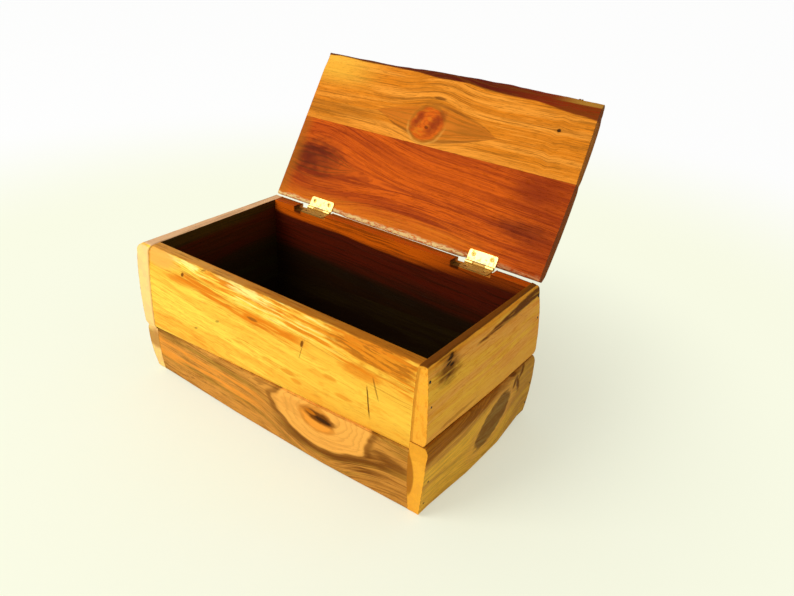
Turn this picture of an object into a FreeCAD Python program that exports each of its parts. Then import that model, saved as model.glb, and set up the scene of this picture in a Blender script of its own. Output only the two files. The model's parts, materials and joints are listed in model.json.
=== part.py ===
# Rustic plank chest with a hinged lid, in millimetres.
#
# The chest is eight waned boards, two high on each side, around a let-in bottom, and a lid
# of two boards on two brass butt hinges. +X runs along the front, +Y points to the hinge
# side and +Z points up; the origin is the centre of the base. The lid is drawn open.

import FreeCAD
import Part
import math
import os

import Sketcher

NAME = "PlankChest"
SHEET = "Sizes"

# Overall sizes, board shapes and hinge sizes. Each is set once, here.
SIZES = {
    # chest
    "inner_length": 254.0,
    "inner_width": 123.5,
    "chest_height": 114.0,
    "bottom_thickness": 8.0,
    # wall boards: how their worn edges round over
    "wall_stock": 16.0,
    "front_rim_share": 0.60,
    "right_rim_share": 0.52,
    "back_rim_share": 0.92,
    "left_rim_share": 0.62,
    "rim_round_ratio": 1.2,   # height of the rounded rim for each millimetre it falls back
    "board_joint_drop": 0.9,
    "board_joint_round": 3.2,
    "end_joint_drop": 2.0,
    "end_joint_round": 5.0,
    "foot_drop": 1.9,
    "foot_round": 4.0,
    "wall_crown": 0.8,
    "trim_allowance": 3.0,
    # lid
    "lid_length": 267.0,
    "lid_shift": -3.5,
    "lid_stock": 10.4,
    "lid_open": 122.5,
    "lid_set_back": 2.7,
    "lid_rear_width": 75.2,
    "lid_rear_edge_share": 0.50,
    "lid_shoulder_share": 0.86,
    "lid_joint_share": 0.62,
    "lid_front_share": 0.62,
    "lid_edge_round": 9.0,
    "lid_crown": 1.2,
    "wane_hollow": 0.3,
    "lid_end_skew": 2.8,      # degrees
    # hinges
    "hinge_spacing": 164.4,
    "hinge_shift": -1.2,
    "hinge_length": 25.0,
    "leaf_width": 10.1,       # from the hinge axis to the leaf's edge
    "leaf_set_back": 0.35,    # from the inner face of the back to the leaf's edge
    "leaf_thickness": 1.0,
    "leaf_corner": 1.6,
    "knuckle_radius": 1.6,
    "middle_knuckle": 11.0,
    "knuckle_gap": 0.15,
    "barrel_gap": 0.35,
    "pin_radius": 0.8,
    "pin_clearance": 0.05,
    "pin_overhang": 0.3,
    "lid_gap": 0.2,
    "notch_left": 7.0,
    "notch_right": 3.5,
    "notch_relief": 0.5,
    # screws
    "screw_spacing": 16.4,
    "screw_inset": 6.8,
    "screw_head_radius": 1.75,
    "screw_radius": 0.9,
    "screw_thread_bite": 0.2,
    "screw_hole_clearance": 0.2,
    "wall_screw_length": 9.0,
    "lid_screw_length": 5.6,
    # finishing nails through the end boards
    "nail_radius": 0.7,
    "nail_head_radius": 1.05,
    "nail_head_height": 0.9,
    "nail_length": 24.0,
    "nail_inset": 8.6,
    "nail_above_foot": 11.0,
    "nail_second_above_foot": 30.5,
    "nail_second_below_rim": 26.2,
    "nail_below_rim": 8.6,
    "nail_proud": 0.05,
}

# Stations along a wall board as a share of half its length, from its left end to its right
# as seen from inside the chest.
WALL_STATIONS = (-1.0, -0.4, 0.3, 1.0)

# How far each board falls short of the stock's thickness at its four stations: first where
# it meets the other board of its wall, then at its rim or foot.
WALL_THINNING = {
    "right_upper_end": ((7.0, 5.2, 4.2, 3.8), (9.8, 8.8, 8.0, 7.6)),
    "right_lower_end": ((6.2, 4.0, 2.6, 1.8), (9.0, 4.8, 4.4, 6.8)),
    "front_upper_board": ((2.4, 2.2, 2.0, 1.7), (5.6, 5.2, 4.8, 4.4)),
    "front_lower_board": ((1.0, 0.2, 1.2, 3.6), (3.6, 1.2, 2.6, 6.0)),
    "back_upper_board": ((3.4, 3.0, 3.4, 4.2), (5.2, 3.8, 4.4, 6.4)),
    "back_lower_board": ((3.6, 3.0, 3.2, 4.6), (6.2, 5.0, 5.4, 6.4)),
    "left_upper_end": ((3.8, 3.6, 4.0, 4.4), (0.8, 1.2, 2.6, 3.8)),
    "left_lower_end": ((3.2, 3.0, 3.6, 4.2), (7.0, 6.2, 6.4, 7.2)),
}

# Height of the joint between the two boards of a wall, at its left and right end.
WALL_JOINTS = {
    "front": (52.5, 43.4),
    "right": (53.6, 60.0),
    "back": (47.0, 57.0),
    "left": (42.0, 46.0),
}

# Stations of the lid boards, left to right. The front board has a live edge, and the rear
# board's arris beside the hinges is worn away.
LID_STATIONS = (-1.0, -0.45, -0.2, 0.38, 1.0)
LID_REAR_THINNING = (1.4, 0.5, 0.2, 0.0, 0.3)
LID_REAR_WEAR = (1.6, 2.4, 2.0, 0.9, 0.5)
LID_FRONT_THINNING = (1.8, 1.2, 0.9, 0.6, 0.6)
LID_FRONT_WIDTH = (61.6, 61.8, 63.4, 64.6, 63.6)
WANE_WIDTH = (1.4, 5.0, 6.2, 9.8, 14.6)
WANE_DEPTH = (0.6, 1.6, 2.1, 3.2, 4.2)

# Each wall: which way it faces, and the walls at its left and right end seen from inside.
WALLS = {
    "front": (180, "right", "left"),
    "right": (-90, "back", "front"),
    "back": (0, "left", "right"),
    "left": (90, "front", "back"),
}

SCREW_FLATS = 8
FAR = 30.0    # how far a cutting outline reaches outside the wood
OVER = 1.0    # how far a cutting outline runs past an edge


class Size:
    """A number together with the sheet formula that keeps it up to date."""

    def __init__(self, value, text):
        self.value = float(value)
        self.text = text

    def __add__(self, other):
        other = as_size(other)
        return Size(self.value + other.value, f"({self.text} + {other.text})")

    def __sub__(self, other):
        other = as_size(other)
        return Size(self.value - other.value, f"({self.text} - {other.text})")

    def __mul__(self, other):
        other = as_size(other)
        return Size(self.value * other.value, f"({self.text} * {other.text})")

    def __truediv__(self, other):
        other = as_size(other)
        return Size(self.value / other.value, f"({self.text} / {other.text})")

    def __neg__(self):
        return Size(-self.value, f"(0 - {self.text})")

    __radd__ = __add__

    def __rsub__(self, other):
        return as_size(other) - self

    __rmul__ = __mul__


def as_size(number):
    """Wrap a plain number, so that it can stand beside the sheet's values."""
    return number if isinstance(number, Size) else Size(number, f"{number:g}")


def size(alias):
    """The sheet's value of that name."""
    return Size(sheet_values[alias], f"{SHEET}.{alias}")


def make_sheet(doc):
    """Write every driving size into the sheet and return the values by alias."""
    values = dict(SIZES)
    for board, (by_joint, by_edge) in WALL_THINNING.items():
        for station, (joint_amount, edge_amount) in enumerate(zip(by_joint, by_edge), 1):
            values[f"{board}_joint_thinning_{station}"] = joint_amount
            values[f"{board}_edge_thinning_{station}"] = edge_amount
    for side, (left_height, right_height) in WALL_JOINTS.items():
        values[f"{side}_joint_left"] = left_height
        values[f"{side}_joint_right"] = right_height
    lid_tables = {
        "lid_rear_thinning": LID_REAR_THINNING,
        "lid_rear_wear": LID_REAR_WEAR,
        "lid_front_thinning": LID_FRONT_THINNING,
        "lid_front_width": LID_FRONT_WIDTH,
        "wane_width": WANE_WIDTH,
        "wane_depth": WANE_DEPTH,
    }
    for alias, amounts in lid_tables.items():
        for station, amount in enumerate(amounts, 1):
            values[f"{alias}_{station}"] = amount
    sheet = doc.addObject("Spreadsheet::Sheet", SHEET)
    for row, (alias, value) in enumerate(values.items(), 1):
        sheet.set(f"A{row}", alias.replace("_", " "))
        sheet.set(f"B{row}", str(value))
        sheet.setAlias(f"B{row}", alias)
    doc.recompute()
    return values


# ---------------------------------------------------------------- drawing and features


def bind(thing, path, value):
    """Tie one property of an object to the sheet."""
    thing.setExpression(path, as_size(value).text)


def new_body(doc, label):
    body = doc.addObject("PartDesign::Body", label)
    body.Label = label
    return body


def origin_plane(body, role):
    return next(item for item in body.Origin.OriginFeatures if item.Role == role)


def new_sketch(body, name, role, offset=(0, 0, 0), tilt=0):
    """A sketch on one of the body's origin planes, shifted and tilted about its own axes."""
    sketch = body.newObject("Sketcher::SketchObject", f"{body.Name}_{name}")
    sketch.AttachmentSupport = (origin_plane(body, role), "")
    sketch.MapMode = "FlatFace"
    point = "; ".join(as_size(amount).text for amount in offset)
    turn = f"rotation(vector(1; 0; 0); {as_size(tilt).text})"
    sketch.setExpression("AttachmentOffset", f"placement(vector({point}); {turn})")
    return sketch


def pin_coordinate(sketch, kind, geometry, end, amount):
    """Hold one coordinate of a point at a sheet value."""
    if amount.text == "0":
        axis = -2 if kind == "DistanceX" else -1
        sketch.addConstraint(Sketcher.Constraint("PointOnObject", geometry, end, axis))
        return
    if amount.value < 0:
        ends = (geometry, end, -1, 1)
        amount = -amount
    else:
        ends = (-1, 1, geometry, end)
    index = sketch.addConstraint(Sketcher.Constraint(kind, *ends, amount.value))
    bind(sketch, f"Constraints[{index}]", amount)


def draw_outline(sketch, points, radii=None):
    """Draw a closed outline through the points, anticlockwise.

    radii gives, by the number of the point where it starts, the radius of each edge that
    is an arc bulging outwards. Every corner is held by its two coordinates.
    """
    radii = radii or {}
    corners = [(as_size(across), as_size(up)) for across, up in points]
    starts = []
    ends = []
    for number, (across, up) in enumerate(corners):
        next_across, next_up = corners[(number + 1) % len(corners)]
        start = FreeCAD.Vector(across.value, up.value, 0)
        finish = FreeCAD.Vector(next_across.value, next_up.value, 0)
        if number in radii:
            radius = as_size(radii[number])
            chord = finish - start
            half = chord.Length / 2
            depth = radius.value - math.sqrt(max(radius.value ** 2 - half ** 2, 0))
            outward = FreeCAD.Vector(chord.y, -chord.x, 0).normalize()
            middle = (start + finish) / 2 + outward * depth
            geometry = sketch.addGeometry(Part.Arc(start, middle, finish), False)
            first = sketch.getPoint(geometry, 1)
            forwards = first.distanceToPoint(start) < first.distanceToPoint(finish)
            starts.append((geometry, 1 if forwards else 2))
            ends.append((geometry, 2 if forwards else 1))
        else:
            geometry = sketch.addGeometry(Part.LineSegment(start, finish), False)
            starts.append((geometry, 1))
            ends.append((geometry, 2))
    for number, (across, up) in enumerate(corners):
        geometry, end = starts[number]
        sketch.addConstraint(Sketcher.Constraint("Coincident", *ends[number - 1], geometry, end))
        pin_coordinate(sketch, "DistanceX", geometry, end, across)
        pin_coordinate(sketch, "DistanceY", geometry, end, up)
    for number, radius in radii.items():
        radius = as_size(radius)
        constraint = Sketcher.Constraint("Radius", starts[number][0], radius.value)
        bind(sketch, f"Constraints[{sketch.addConstraint(constraint)}]", radius)


def draw_circle(sketch, across, up, radius):
    """Draw a circle whose centre and radius follow the sheet."""
    across, up, radius = (as_size(amount) for amount in (across, up, radius))
    centre = FreeCAD.Vector(across.value, up.value, 0)
    circle = Part.Circle(centre, FreeCAD.Vector(0, 0, 1), radius.value)
    geometry = sketch.addGeometry(circle, False)
    pin_coordinate(sketch, "DistanceX", geometry, 3, across)
    pin_coordinate(sketch, "DistanceY", geometry, 3, up)
    constraint = Sketcher.Constraint("Radius", geometry, radius.value)
    bind(sketch, f"Constraints[{sketch.addConstraint(constraint)}]", radius)


def bow_radius(start, finish, rise):
    """Radius of the arc from start to finish that stands the given rise off its chord."""
    across = as_size(finish[0]) - start[0]
    up = as_size(finish[1]) - start[1]
    squared = across * across + up * up
    return squared / (8 * as_size(rise)) + as_size(rise) / 2


def edge_radius(drop, height):
    """Radius of a rounded edge that runs smoothly into the face above or below it."""
    return (drop * drop + height * height) / (2 * drop)


def pad(body, name, sketch, length, both_ways=False):
    feature = body.newObject("PartDesign::Pad", f"{body.Name}_{name}")
    feature.Profile = sketch
    feature.SideType = "Symmetric" if both_ways else "One side"
    bind(feature, "Length", length)
    return feature


def cut_through(body, name, sketch):
    """Cut an outline all the way through, both ways from its plane."""
    feature = body.newObject("PartDesign::Pocket", f"{body.Name}_{name}")
    feature.Profile = sketch
    feature.Type = "ThroughAll"
    feature.SideType = "Symmetric"
    return feature


def cut_length(body, name, sketch, length, reverse=False, both_ways=False):
    feature = body.newObject("PartDesign::Pocket", f"{body.Name}_{name}")
    feature.Profile = sketch
    feature.SideType = "Symmetric" if both_ways else "One side"
    feature.Reversed = reverse
    bind(feature, "Length", length)
    return feature


def loft(body, name, sketches):
    """A solid through the sections, straight from each one to the next."""
    feature = body.newObject("PartDesign::AdditiveLoft", f"{body.Name}_{name}")
    feature.Profile = sketches[0]
    feature.Sections = sketches[1:]
    feature.Ruled = True
    return feature


def place(thing, across=0, along=0, up=0, turns=()):
    """Tie a placement to the sheet: a point, then turns about X, Y or Z, outermost first."""
    axes = {"x": "1; 0; 0", "y": "0; 1; 0", "z": "0; 0; 1"}
    point = "; ".join(as_size(amount).text for amount in (across, along, up))
    turned = " * ".join(
        f"rotation(vector({axes[axis]}); {as_size(angle).text})" for axis, angle in turns
    )
    thing.setExpression(
        "Placement",
        f"placement(vector({point}); {turned or 'rotation(vector(1; 0; 0); 0)'})",
    )


# ---------------------------------------------------------------- walls


def wall_span(side):
    """Inside length of a wall, corner to corner."""
    return size("inner_length" if side in ("front", "back") else "inner_width")


def joint_height(side, position):
    """Height of the board joint at a distance from the middle of a wall."""
    left, right = size(f"{side}_joint_left"), size(f"{side}_joint_right")
    return (left + right) / 2 + (right - left) * position / wall_span(side)


def wall_thickness(label, station):
    """Thickness of a board at a station: beside the joint, and beside its rim or foot."""
    stock = size("wall_stock")
    by_joint = stock - size(f"{label}_joint_thinning_{station + 1}")
    by_edge = stock - size(f"{label}_edge_thinning_{station + 1}")
    return by_joint, by_edge


def waned_face(label, station, height):
    """Corners and radii of a wall board's outer face, from its lower edge to its upper.

    The corners are thickness and height above the board's lower edge.
    """
    side, level, kind = label.split("_")
    by_joint, by_edge = wall_thickness(label, station)
    joint_drop, joint_round = size(f"{kind}_joint_drop"), size(f"{kind}_joint_round")
    if level == "upper":
        rim_drop = by_edge - by_edge * size(f"{side}_rim_share")
        low = (by_joint, joint_drop, joint_round)
        high = (by_edge, rim_drop, rim_drop * size("rim_round_ratio"))
    else:
        low = (by_edge, size("foot_drop"), size("foot_round"))
        high = (by_joint, joint_drop, joint_round)
    corners = [
        (low[0] - low[1], as_size(0)),
        (low[0], low[2]),
        (high[0], height - high[2]),
        (high[0] - high[1], height),
    ]
    radii = [
        edge_radius(low[1], low[2]),
        bow_radius(corners[1], corners[2], size("wall_crown")),
        edge_radius(high[1], high[2]),
    ]
    return corners, radii


def board_range(side, label, position):
    """Lower edge and height of a wall board at a distance from the wall's middle."""
    joint = joint_height(side, position)
    if "upper" in label:
        return joint, size("chest_height") - joint
    return as_size(0), joint


def make_wall_board(doc, side, label):
    """A board of one wall: flat inside, waned outside, a little different at each station."""
    body = new_body(doc, label)
    half = wall_span(side) / 2
    sections = []
    for station, share in enumerate(WALL_STATIONS):
        position = half * share
        bottom, height = board_range(side, label, position)
        sketch = new_sketch(body, f"section_{station}", "YZ_Plane", (0, bottom, position))
        corners, radii = waned_face(label, station, height)
        points = [(0, 0), *corners, (0, height)]
        draw_outline(sketch, points, dict(enumerate(radii, 1)))
        sections.append(sketch)
    loft(body, "plank", sections)
    return body


def extend_end(body, side, label, direction):
    """Run an end board on past the corner, to cover the end of its neighbour.

    direction is 1 at the board's right end seen from inside, and -1 at its left.
    """
    position = wall_span(side) / 2 * direction
    bottom, height = board_range(side, label, position)
    station = 0 if direction < 0 else len(WALL_STATIONS) - 1
    corners, radii = waned_face(label, station, height)
    name = "right" if direction > 0 else "left"
    sketch = new_sketch(body, f"{name}_extension_outline", "YZ_Plane", (0, bottom, position))
    draw_outline(sketch, [(0, 0), *corners, (0, height)], dict(enumerate(radii, 1)))
    reach = size("wall_stock") + size("trim_allowance")
    extension = pad(body, f"{name}_extension", sketch, reach)
    extension.Reversed = direction < 0


def trim_end(body, side, label, direction):
    """Trim an end board flush with the face of the board whose end it covers.

    Beyond the neighbour's own edges the cut runs straight on up or down.
    """
    neighbour = WALLS[side][2 if direction > 0 else 1]
    at_left_end = WALLS[neighbour][1] == side
    level = label.split("_")[1]
    neighbour_label = f"{neighbour}_{level}_board"
    station = 0 if at_left_end else len(WALL_STATIONS) - 1
    corner = wall_span(neighbour) / 2 * (-1 if at_left_end else 1)
    bottom, height = board_range(neighbour, neighbour_label, corner)
    corners, radii = waned_face(neighbour_label, station, height)
    half = wall_span(side) / 2
    face = [(direction * (half + across), bottom + up) for across, up in corners]
    outside = direction * (half + size("wall_stock") + FAR)
    below = (face[0][0], as_size(-OVER))
    above = (face[-1][0], size("chest_height") + OVER)
    points = [below, *face, above, (outside, above[1]), (outside, below[1])]
    if direction < 0:
        points = points[::-1]
    sketch = new_sketch(body, f"trim_{neighbour}", "XZ_Plane")
    draw_hollow_outline(sketch, points, face, radii)
    cut_through(body, f"trimmed_{neighbour}", sketch)


def draw_hollow_outline(sketch, points, face, radii):
    """Draw a cutting outline whose edges along the face are arcs that bulge into it."""
    starts = {}
    for number, radius in enumerate(radii):
        pair = (face[number], face[number + 1])
        for place_in_list, point in enumerate(points):
            following = points[(place_in_list + 1) % len(points)]
            if point in pair and following in pair:
                starts[place_in_list] = radius
    draw_outline(sketch, points, starts)


def make_bottom(doc):
    body = new_body(doc, "bottom_board")
    sketch = new_sketch(body, "outline", "XY_Plane")
    across, along = size("inner_length") / 2, size("inner_width") / 2
    draw_outline(sketch, [(-across, -along), (across, -along), (across, along), (-across, along)])
    pad(body, "plank", sketch, size("bottom_thickness"))


def make_walls(doc):
    for side, (facing, _, _) in WALLS.items():
        kind = "board" if side in ("front", "back") else "end"
        for level in ("upper", "lower"):
            label = f"{side}_{level}_{kind}"
            body = make_wall_board(doc, side, label)
            if kind == "end":
                for direction in (-1, 1):
                    extend_end(body, side, label, direction)
                    trim_end(body, side, label, direction)
            if label == "back_upper_board":
                cut_hinge_notches(body)
            out = size("inner_width") / 2 if kind == "board" else size("inner_length") / 2
            outward = {"front": (0, -out), "back": (0, out), "left": (-out, 0), "right": (out, 0)}
            place(body, *outward[side], 0, [("z", facing)])


# ---------------------------------------------------------------- hinge places


def hinge_centres():
    half = size("hinge_spacing") / 2
    return {"left": size("hinge_shift") - half, "right": size("hinge_shift") + half}


def hinge_axis():
    """Y and Z of the hinge axis in the chest's frame."""
    along = size("inner_width") / 2 + size("leaf_width") + size("leaf_set_back")
    up = size("chest_height") + size("lid_gap") - size("knuckle_radius")
    return along, up


def cut_hinge_notches(body):
    """Notch the rim of the back board for each hinge, and drill for its screws.

    The floor drops a little under the barrel, so that the lid's knuckles turn free of it.
    """
    axis_along, axis_up = hinge_axis()
    barrel = axis_along - size("inner_width") / 2
    floor = axis_up - size("knuckle_radius")
    relief_start = barrel - size("knuckle_radius") - size("barrel_gap")
    relief_floor = floor - size("notch_relief")
    rim = size("chest_height") + OVER
    half = size("hinge_length") / 2
    for side, centre in hinge_centres().items():
        start = centre - half - size("notch_left")
        finish = centre + half + size("notch_right")
        sketch = new_sketch(body, f"{side}_notch_outline", "YZ_Plane", (0, 0, (start + finish) / 2))
        outside = size("wall_stock") + FAR
        points = [
            (-OVER, floor),
            (relief_start, floor),
            (relief_start, relief_floor),
            (outside, relief_floor),
            (outside, rim),
            (-OVER, rim),
        ]
        draw_outline(sketch, points)
        cut_length(body, f"{side}_notch", sketch, finish - start, both_ways=True)
        drill = new_sketch(body, f"{side}_pilot_outline", "XY_Plane", (0, 0, floor))
        for direction in (-1, 1):
            across = centre + direction * size("screw_spacing") / 2
            radius = size("screw_radius") - size("screw_thread_bite")
            draw_outline(drill, flats_around(radius, across, barrel - size("screw_inset")))
        depth = size("wall_screw_length") - size("leaf_thickness")
        cut_length(body, f"{side}_pilot", drill, depth)


# ---------------------------------------------------------------- lid


def lid_turns(*own):
    """Turns that carry a lid piece from its upright place to the open lid."""
    return [("x", 90 - size("lid_open")), *own]


def place_on_lid(body):
    place(body, 0, *hinge_axis(), lid_turns())


def lid_station(share):
    """Distance of a lid station from the chest's middle plane."""
    return size("lid_shift") + size("lid_length") / 2 * share


def make_lid_rear(doc):
    """Rear lid board, upright: +Z from the hinge axis to the front edge, +Y outwards."""
    body = new_body(doc, "lid_rear_board")
    width = size("lid_rear_width")
    rounded = size("lid_edge_round")
    sections = []
    for station, share in enumerate(LID_STATIONS):
        full = size("lid_stock") - size(f"lid_rear_thinning_{station + 1}")
        wear = size(f"lid_rear_wear_{station + 1}")
        shoulder = full * size("lid_shoulder_share")
        corners = [
            (wear, 0),
            (full * size("lid_rear_edge_share"), 0),
            (shoulder, rounded),
            (shoulder, width - rounded),
            (full * size("lid_joint_share"), width),
            (0, width),
            (0, wear),
        ]
        offset = (size("knuckle_radius"), size("lid_set_back"), lid_station(share))
        sketch = new_sketch(body, f"section_{station}", "YZ_Plane", offset)
        radii = {
            1: edge_radius(shoulder - corners[1][0], rounded),
            2: bow_radius(corners[2], corners[3], size("lid_crown")),
            3: edge_radius(shoulder - corners[4][0], rounded),
            6: wear,
        }
        draw_outline(sketch, corners, radii)
        sections.append(sketch)
    loft(body, "plank", sections)
    drill_lid(body)
    place_on_lid(body)


def drill_lid(body):
    """Pilot holes for the lid leaves' screws."""
    sketch = new_sketch(body, "pilot_outline", "XZ_Plane", (0, 0, -size("knuckle_radius")))
    for centre in hinge_centres().values():
        for direction in (-1, 1):
            across = centre + direction * size("screw_spacing") / 2
            radius = size("screw_radius") - size("screw_thread_bite")
            draw_outline(sketch, flats_around(radius, across, size("screw_inset")))
    depth = size("lid_screw_length") - size("leaf_thickness")
    cut_length(body, "pilots", sketch, depth)


def make_lid_front(doc):
    """Front lid board, with a live edge: its wane widens from the left end to the right.

    Its right end is sawn a little out of square.
    """
    body = new_body(doc, "lid_front_board")
    start = size("lid_set_back") + size("lid_rear_width")
    rounded = size("lid_edge_round")
    sections = []
    for station, share in enumerate(LID_STATIONS):
        number = station + 1
        full = size("lid_stock") - size(f"lid_front_thinning_{number}")
        width = size(f"lid_front_width_{number}")
        shoulder = full * size("lid_shoulder_share")
        corners = [
            (full * size("lid_joint_share"), 0),
            (shoulder, rounded),
            (shoulder, width - rounded),
            (full * size("lid_front_share"), width),
            (size(f"wane_depth_{number}"), width),
            (0, width - size(f"wane_width_{number}")),
        ]
        offset = (size("knuckle_radius"), start, lid_station(share))
        tilt = -size("lid_end_skew") if number == len(LID_STATIONS) else 0
        sketch = new_sketch(body, f"section_{station}", "YZ_Plane", offset, tilt)
        wane_rise = size("wane_hollow") * size(f"wane_depth_{number}")
        radii = {
            1: edge_radius(shoulder - corners[0][0], rounded),
            2: bow_radius(corners[1], corners[2], size("lid_crown")),
            3: edge_radius(shoulder - corners[3][0], rounded),
            5: bow_radius(corners[4], corners[5], wane_rise),
        }
        draw_outline(sketch, [(0, 0), *corners], radii)
        sections.append(sketch)
    loft(body, "plank", sections)
    place_on_lid(body)


# ---------------------------------------------------------------- hinges


def draw_leaf(body, outer_knuckles):
    """Plan of a leaf, with tongues that run under the barrel where it has knuckles."""
    half = size("hinge_length") / 2
    inner = size("middle_knuckle") / 2
    clear = -(size("knuckle_radius") + size("barrel_gap"))
    width = size("leaf_width")
    corner = size("leaf_corner")
    if outer_knuckles:
        inner = inner + size("knuckle_gap")
    beside_end, beside_middle = (0, clear) if outer_knuckles else (clear, 0)
    outline = [
        (-half, corner - width),
        (corner - half, -width),
        (half - corner, -width),
        (half, corner - width),
        (half, beside_end),
        (inner, beside_end),
        (inner, beside_middle),
        (-inner, beside_middle),
        (-inner, beside_end),
        (-half, beside_end),
    ]
    sketch = new_sketch(body, "leaf_outline", "XY_Plane", (0, 0, -size("knuckle_radius")))
    draw_outline(sketch, outline, {0: corner, 2: corner})
    pad(body, "plate", sketch, size("leaf_thickness"))


def add_knuckles(body, outer_knuckles):
    """Roll the knuckles: one long one in the middle, or one at each end."""
    radius = size("knuckle_radius")
    if not outer_knuckles:
        sketch = new_sketch(body, "knuckle_outline", "YZ_Plane")
        draw_circle(sketch, 0, 0, radius)
        pad(body, "knuckle", sketch, size("middle_knuckle"), both_ways=True)
        return
    inner = size("middle_knuckle") / 2 + size("knuckle_gap")
    sketch = new_sketch(body, "knuckle_outline", "YZ_Plane", (0, 0, inner))
    draw_circle(sketch, 0, 0, radius)
    knuckle = pad(body, "right_knuckle", sketch, size("hinge_length") / 2 - inner)
    mirror = body.newObject("PartDesign::Mirrored", f"{body.Name}_knuckles")
    mirror.Originals = [knuckle]
    mirror.MirrorPlane = (origin_plane(body, "YZ_Plane"), [""])
    body.Tip = mirror


def cut_screw_holes(body):
    """Two holes, countersunk all the way through the leaf."""
    under = -size("knuckle_radius")
    through = size("screw_radius") + size("screw_hole_clearance")
    mouth = size("screw_head_radius") + size("screw_hole_clearance")
    for name, direction in (("left", -1), ("right", 1)):
        sink = body.newObject("PartDesign::SubtractiveCone", f"{body.Name}_{name}_countersink")
        sink.AttachmentSupport = (origin_plane(body, "XY_Plane"), "")
        sink.MapMode = "FlatFace"
        bind(sink, "AttachmentOffset.Base.x", direction * size("screw_spacing") / 2)
        bind(sink, "AttachmentOffset.Base.y", -size("screw_inset"))
        bind(sink, "AttachmentOffset.Base.z", under)
        bind(sink, "Radius1", through)
        bind(sink, "Radius2", mouth)
        bind(sink, "Height", size("leaf_thickness"))


def make_leaf(doc, label, outer_knuckles):
    """A brass leaf about its own hinge axis, lying flat with its plate towards -Y."""
    body = new_body(doc, label)
    draw_leaf(body, outer_knuckles)
    add_knuckles(body, outer_knuckles)
    bore = size("pin_radius")
    if outer_knuckles:
        bore = bore + size("pin_clearance")
    sketch = new_sketch(body, "bore_outline", "YZ_Plane")
    draw_circle(sketch, 0, 0, bore)
    cut_through(body, "bore", sketch)
    cut_screw_holes(body)
    return body


def make_pin(doc, label):
    """The hinge pin: held by the wall leaf's knuckle, free in the lid leaf's."""
    pin = doc.addObject("Part::Cylinder", label)
    pin.Label = label
    bind(pin, "Radius", size("pin_radius"))
    bind(pin, "Height", size("hinge_length") + 2 * size("pin_overhang"))
    return pin


def make_screws(doc, label, length):
    """A pair of countersunk screws, heads up: one at the origin, one towards +X.

    Each is drawn with a few flats, from the end of its shank to its head.
    """
    body = new_body(doc, label)
    body.AllowCompound = True
    shank = size("screw_radius")
    levels = [
        (-length, shank),
        (-size("leaf_thickness"), shank),
        (as_size(0), size("screw_head_radius")),
    ]
    sections = []
    for number, (height, radius) in enumerate(levels):
        sketch = new_sketch(body, f"section_{number}", "XY_Plane", (0, 0, height))
        draw_outline(sketch, flats_around(radius))
        sections.append(sketch)
    screw = loft(body, "screw", sections)
    pattern = body.newObject("PartDesign::LinearPattern", f"{body.Name}_pair")
    pattern.Originals = [screw]
    pattern.Direction = (origin_axis(body), [""])
    pattern.Occurrences = 2
    bind(pattern, "Length", size("screw_spacing"))
    body.Tip = pattern
    return body


def flats_around(radius, across=0, up=0):
    """Corners of a regular outline about a point, none of them level with it."""
    step = 2 * math.pi / SCREW_FLATS
    turns = [step * (number + 0.5) for number in range(SCREW_FLATS)]
    return [(radius * math.cos(turn) + across, radius * math.sin(turn) + up) for turn in turns]


def origin_axis(body):
    return next(item for item in body.Origin.OriginFeatures if item.Role == "X_Axis")


def make_hinges(doc):
    along, up = hinge_axis()
    seat = size("knuckle_radius") - size("leaf_thickness")
    inset = size("screw_inset")
    half = size("screw_spacing") / 2
    lean = size("lid_open")
    for side, centre in hinge_centres().items():
        wall_leaf = make_leaf(doc, f"{side}_hinge_wall_leaf", False)
        place(wall_leaf, centre, along, up)
        lid_leaf = make_leaf(doc, f"{side}_hinge_lid_leaf", True)
        place(lid_leaf, centre, along, up, [("x", -lean), ("y", 180)])
        pin = make_pin(doc, f"{side}_hinge_pin")
        start = centre - size("hinge_length") / 2 - size("pin_overhang")
        place(pin, start, along, up, [("y", 90)])
        wall_screws = make_screws(doc, f"{side}_wall_screws", size("wall_screw_length"))
        place(wall_screws, centre - half, along - inset, up - seat)
        lid_screws = make_screws(doc, f"{side}_lid_screws", size("lid_screw_length"))
        seat_along, seat_up = lid_point(seat, inset)
        place(lid_screws, centre - half, seat_along, seat_up, lid_turns(("x", 90)))


def lid_point(outward, towards_front):
    """Y and Z of a point on the open lid, from its place about the hinge axis."""
    along, up = hinge_axis()
    lean = size("lid_open") - 90
    sine = Size(math.sin(math.radians(lean.value)), f"sin({lean.text})")
    cosine = Size(math.cos(math.radians(lean.value)), f"cos({lean.text})")
    return (
        along + cosine * outward + sine * towards_front,
        up - sine * outward + cosine * towards_front,
    )


# ---------------------------------------------------------------- nails


def face_thickness(label, station, bottom, height, level):
    """Thickness of a wall board at a level above the base, between its rounded edges."""
    corners, _ = waned_face(label, station, height)
    (low, low_up), (high, high_up) = corners[1], corners[2]
    share = (level - bottom - low_up) / (high_up - low_up)
    return low + (high - low) * share + 4 * size("wall_crown") * share * (1 - share)


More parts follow.
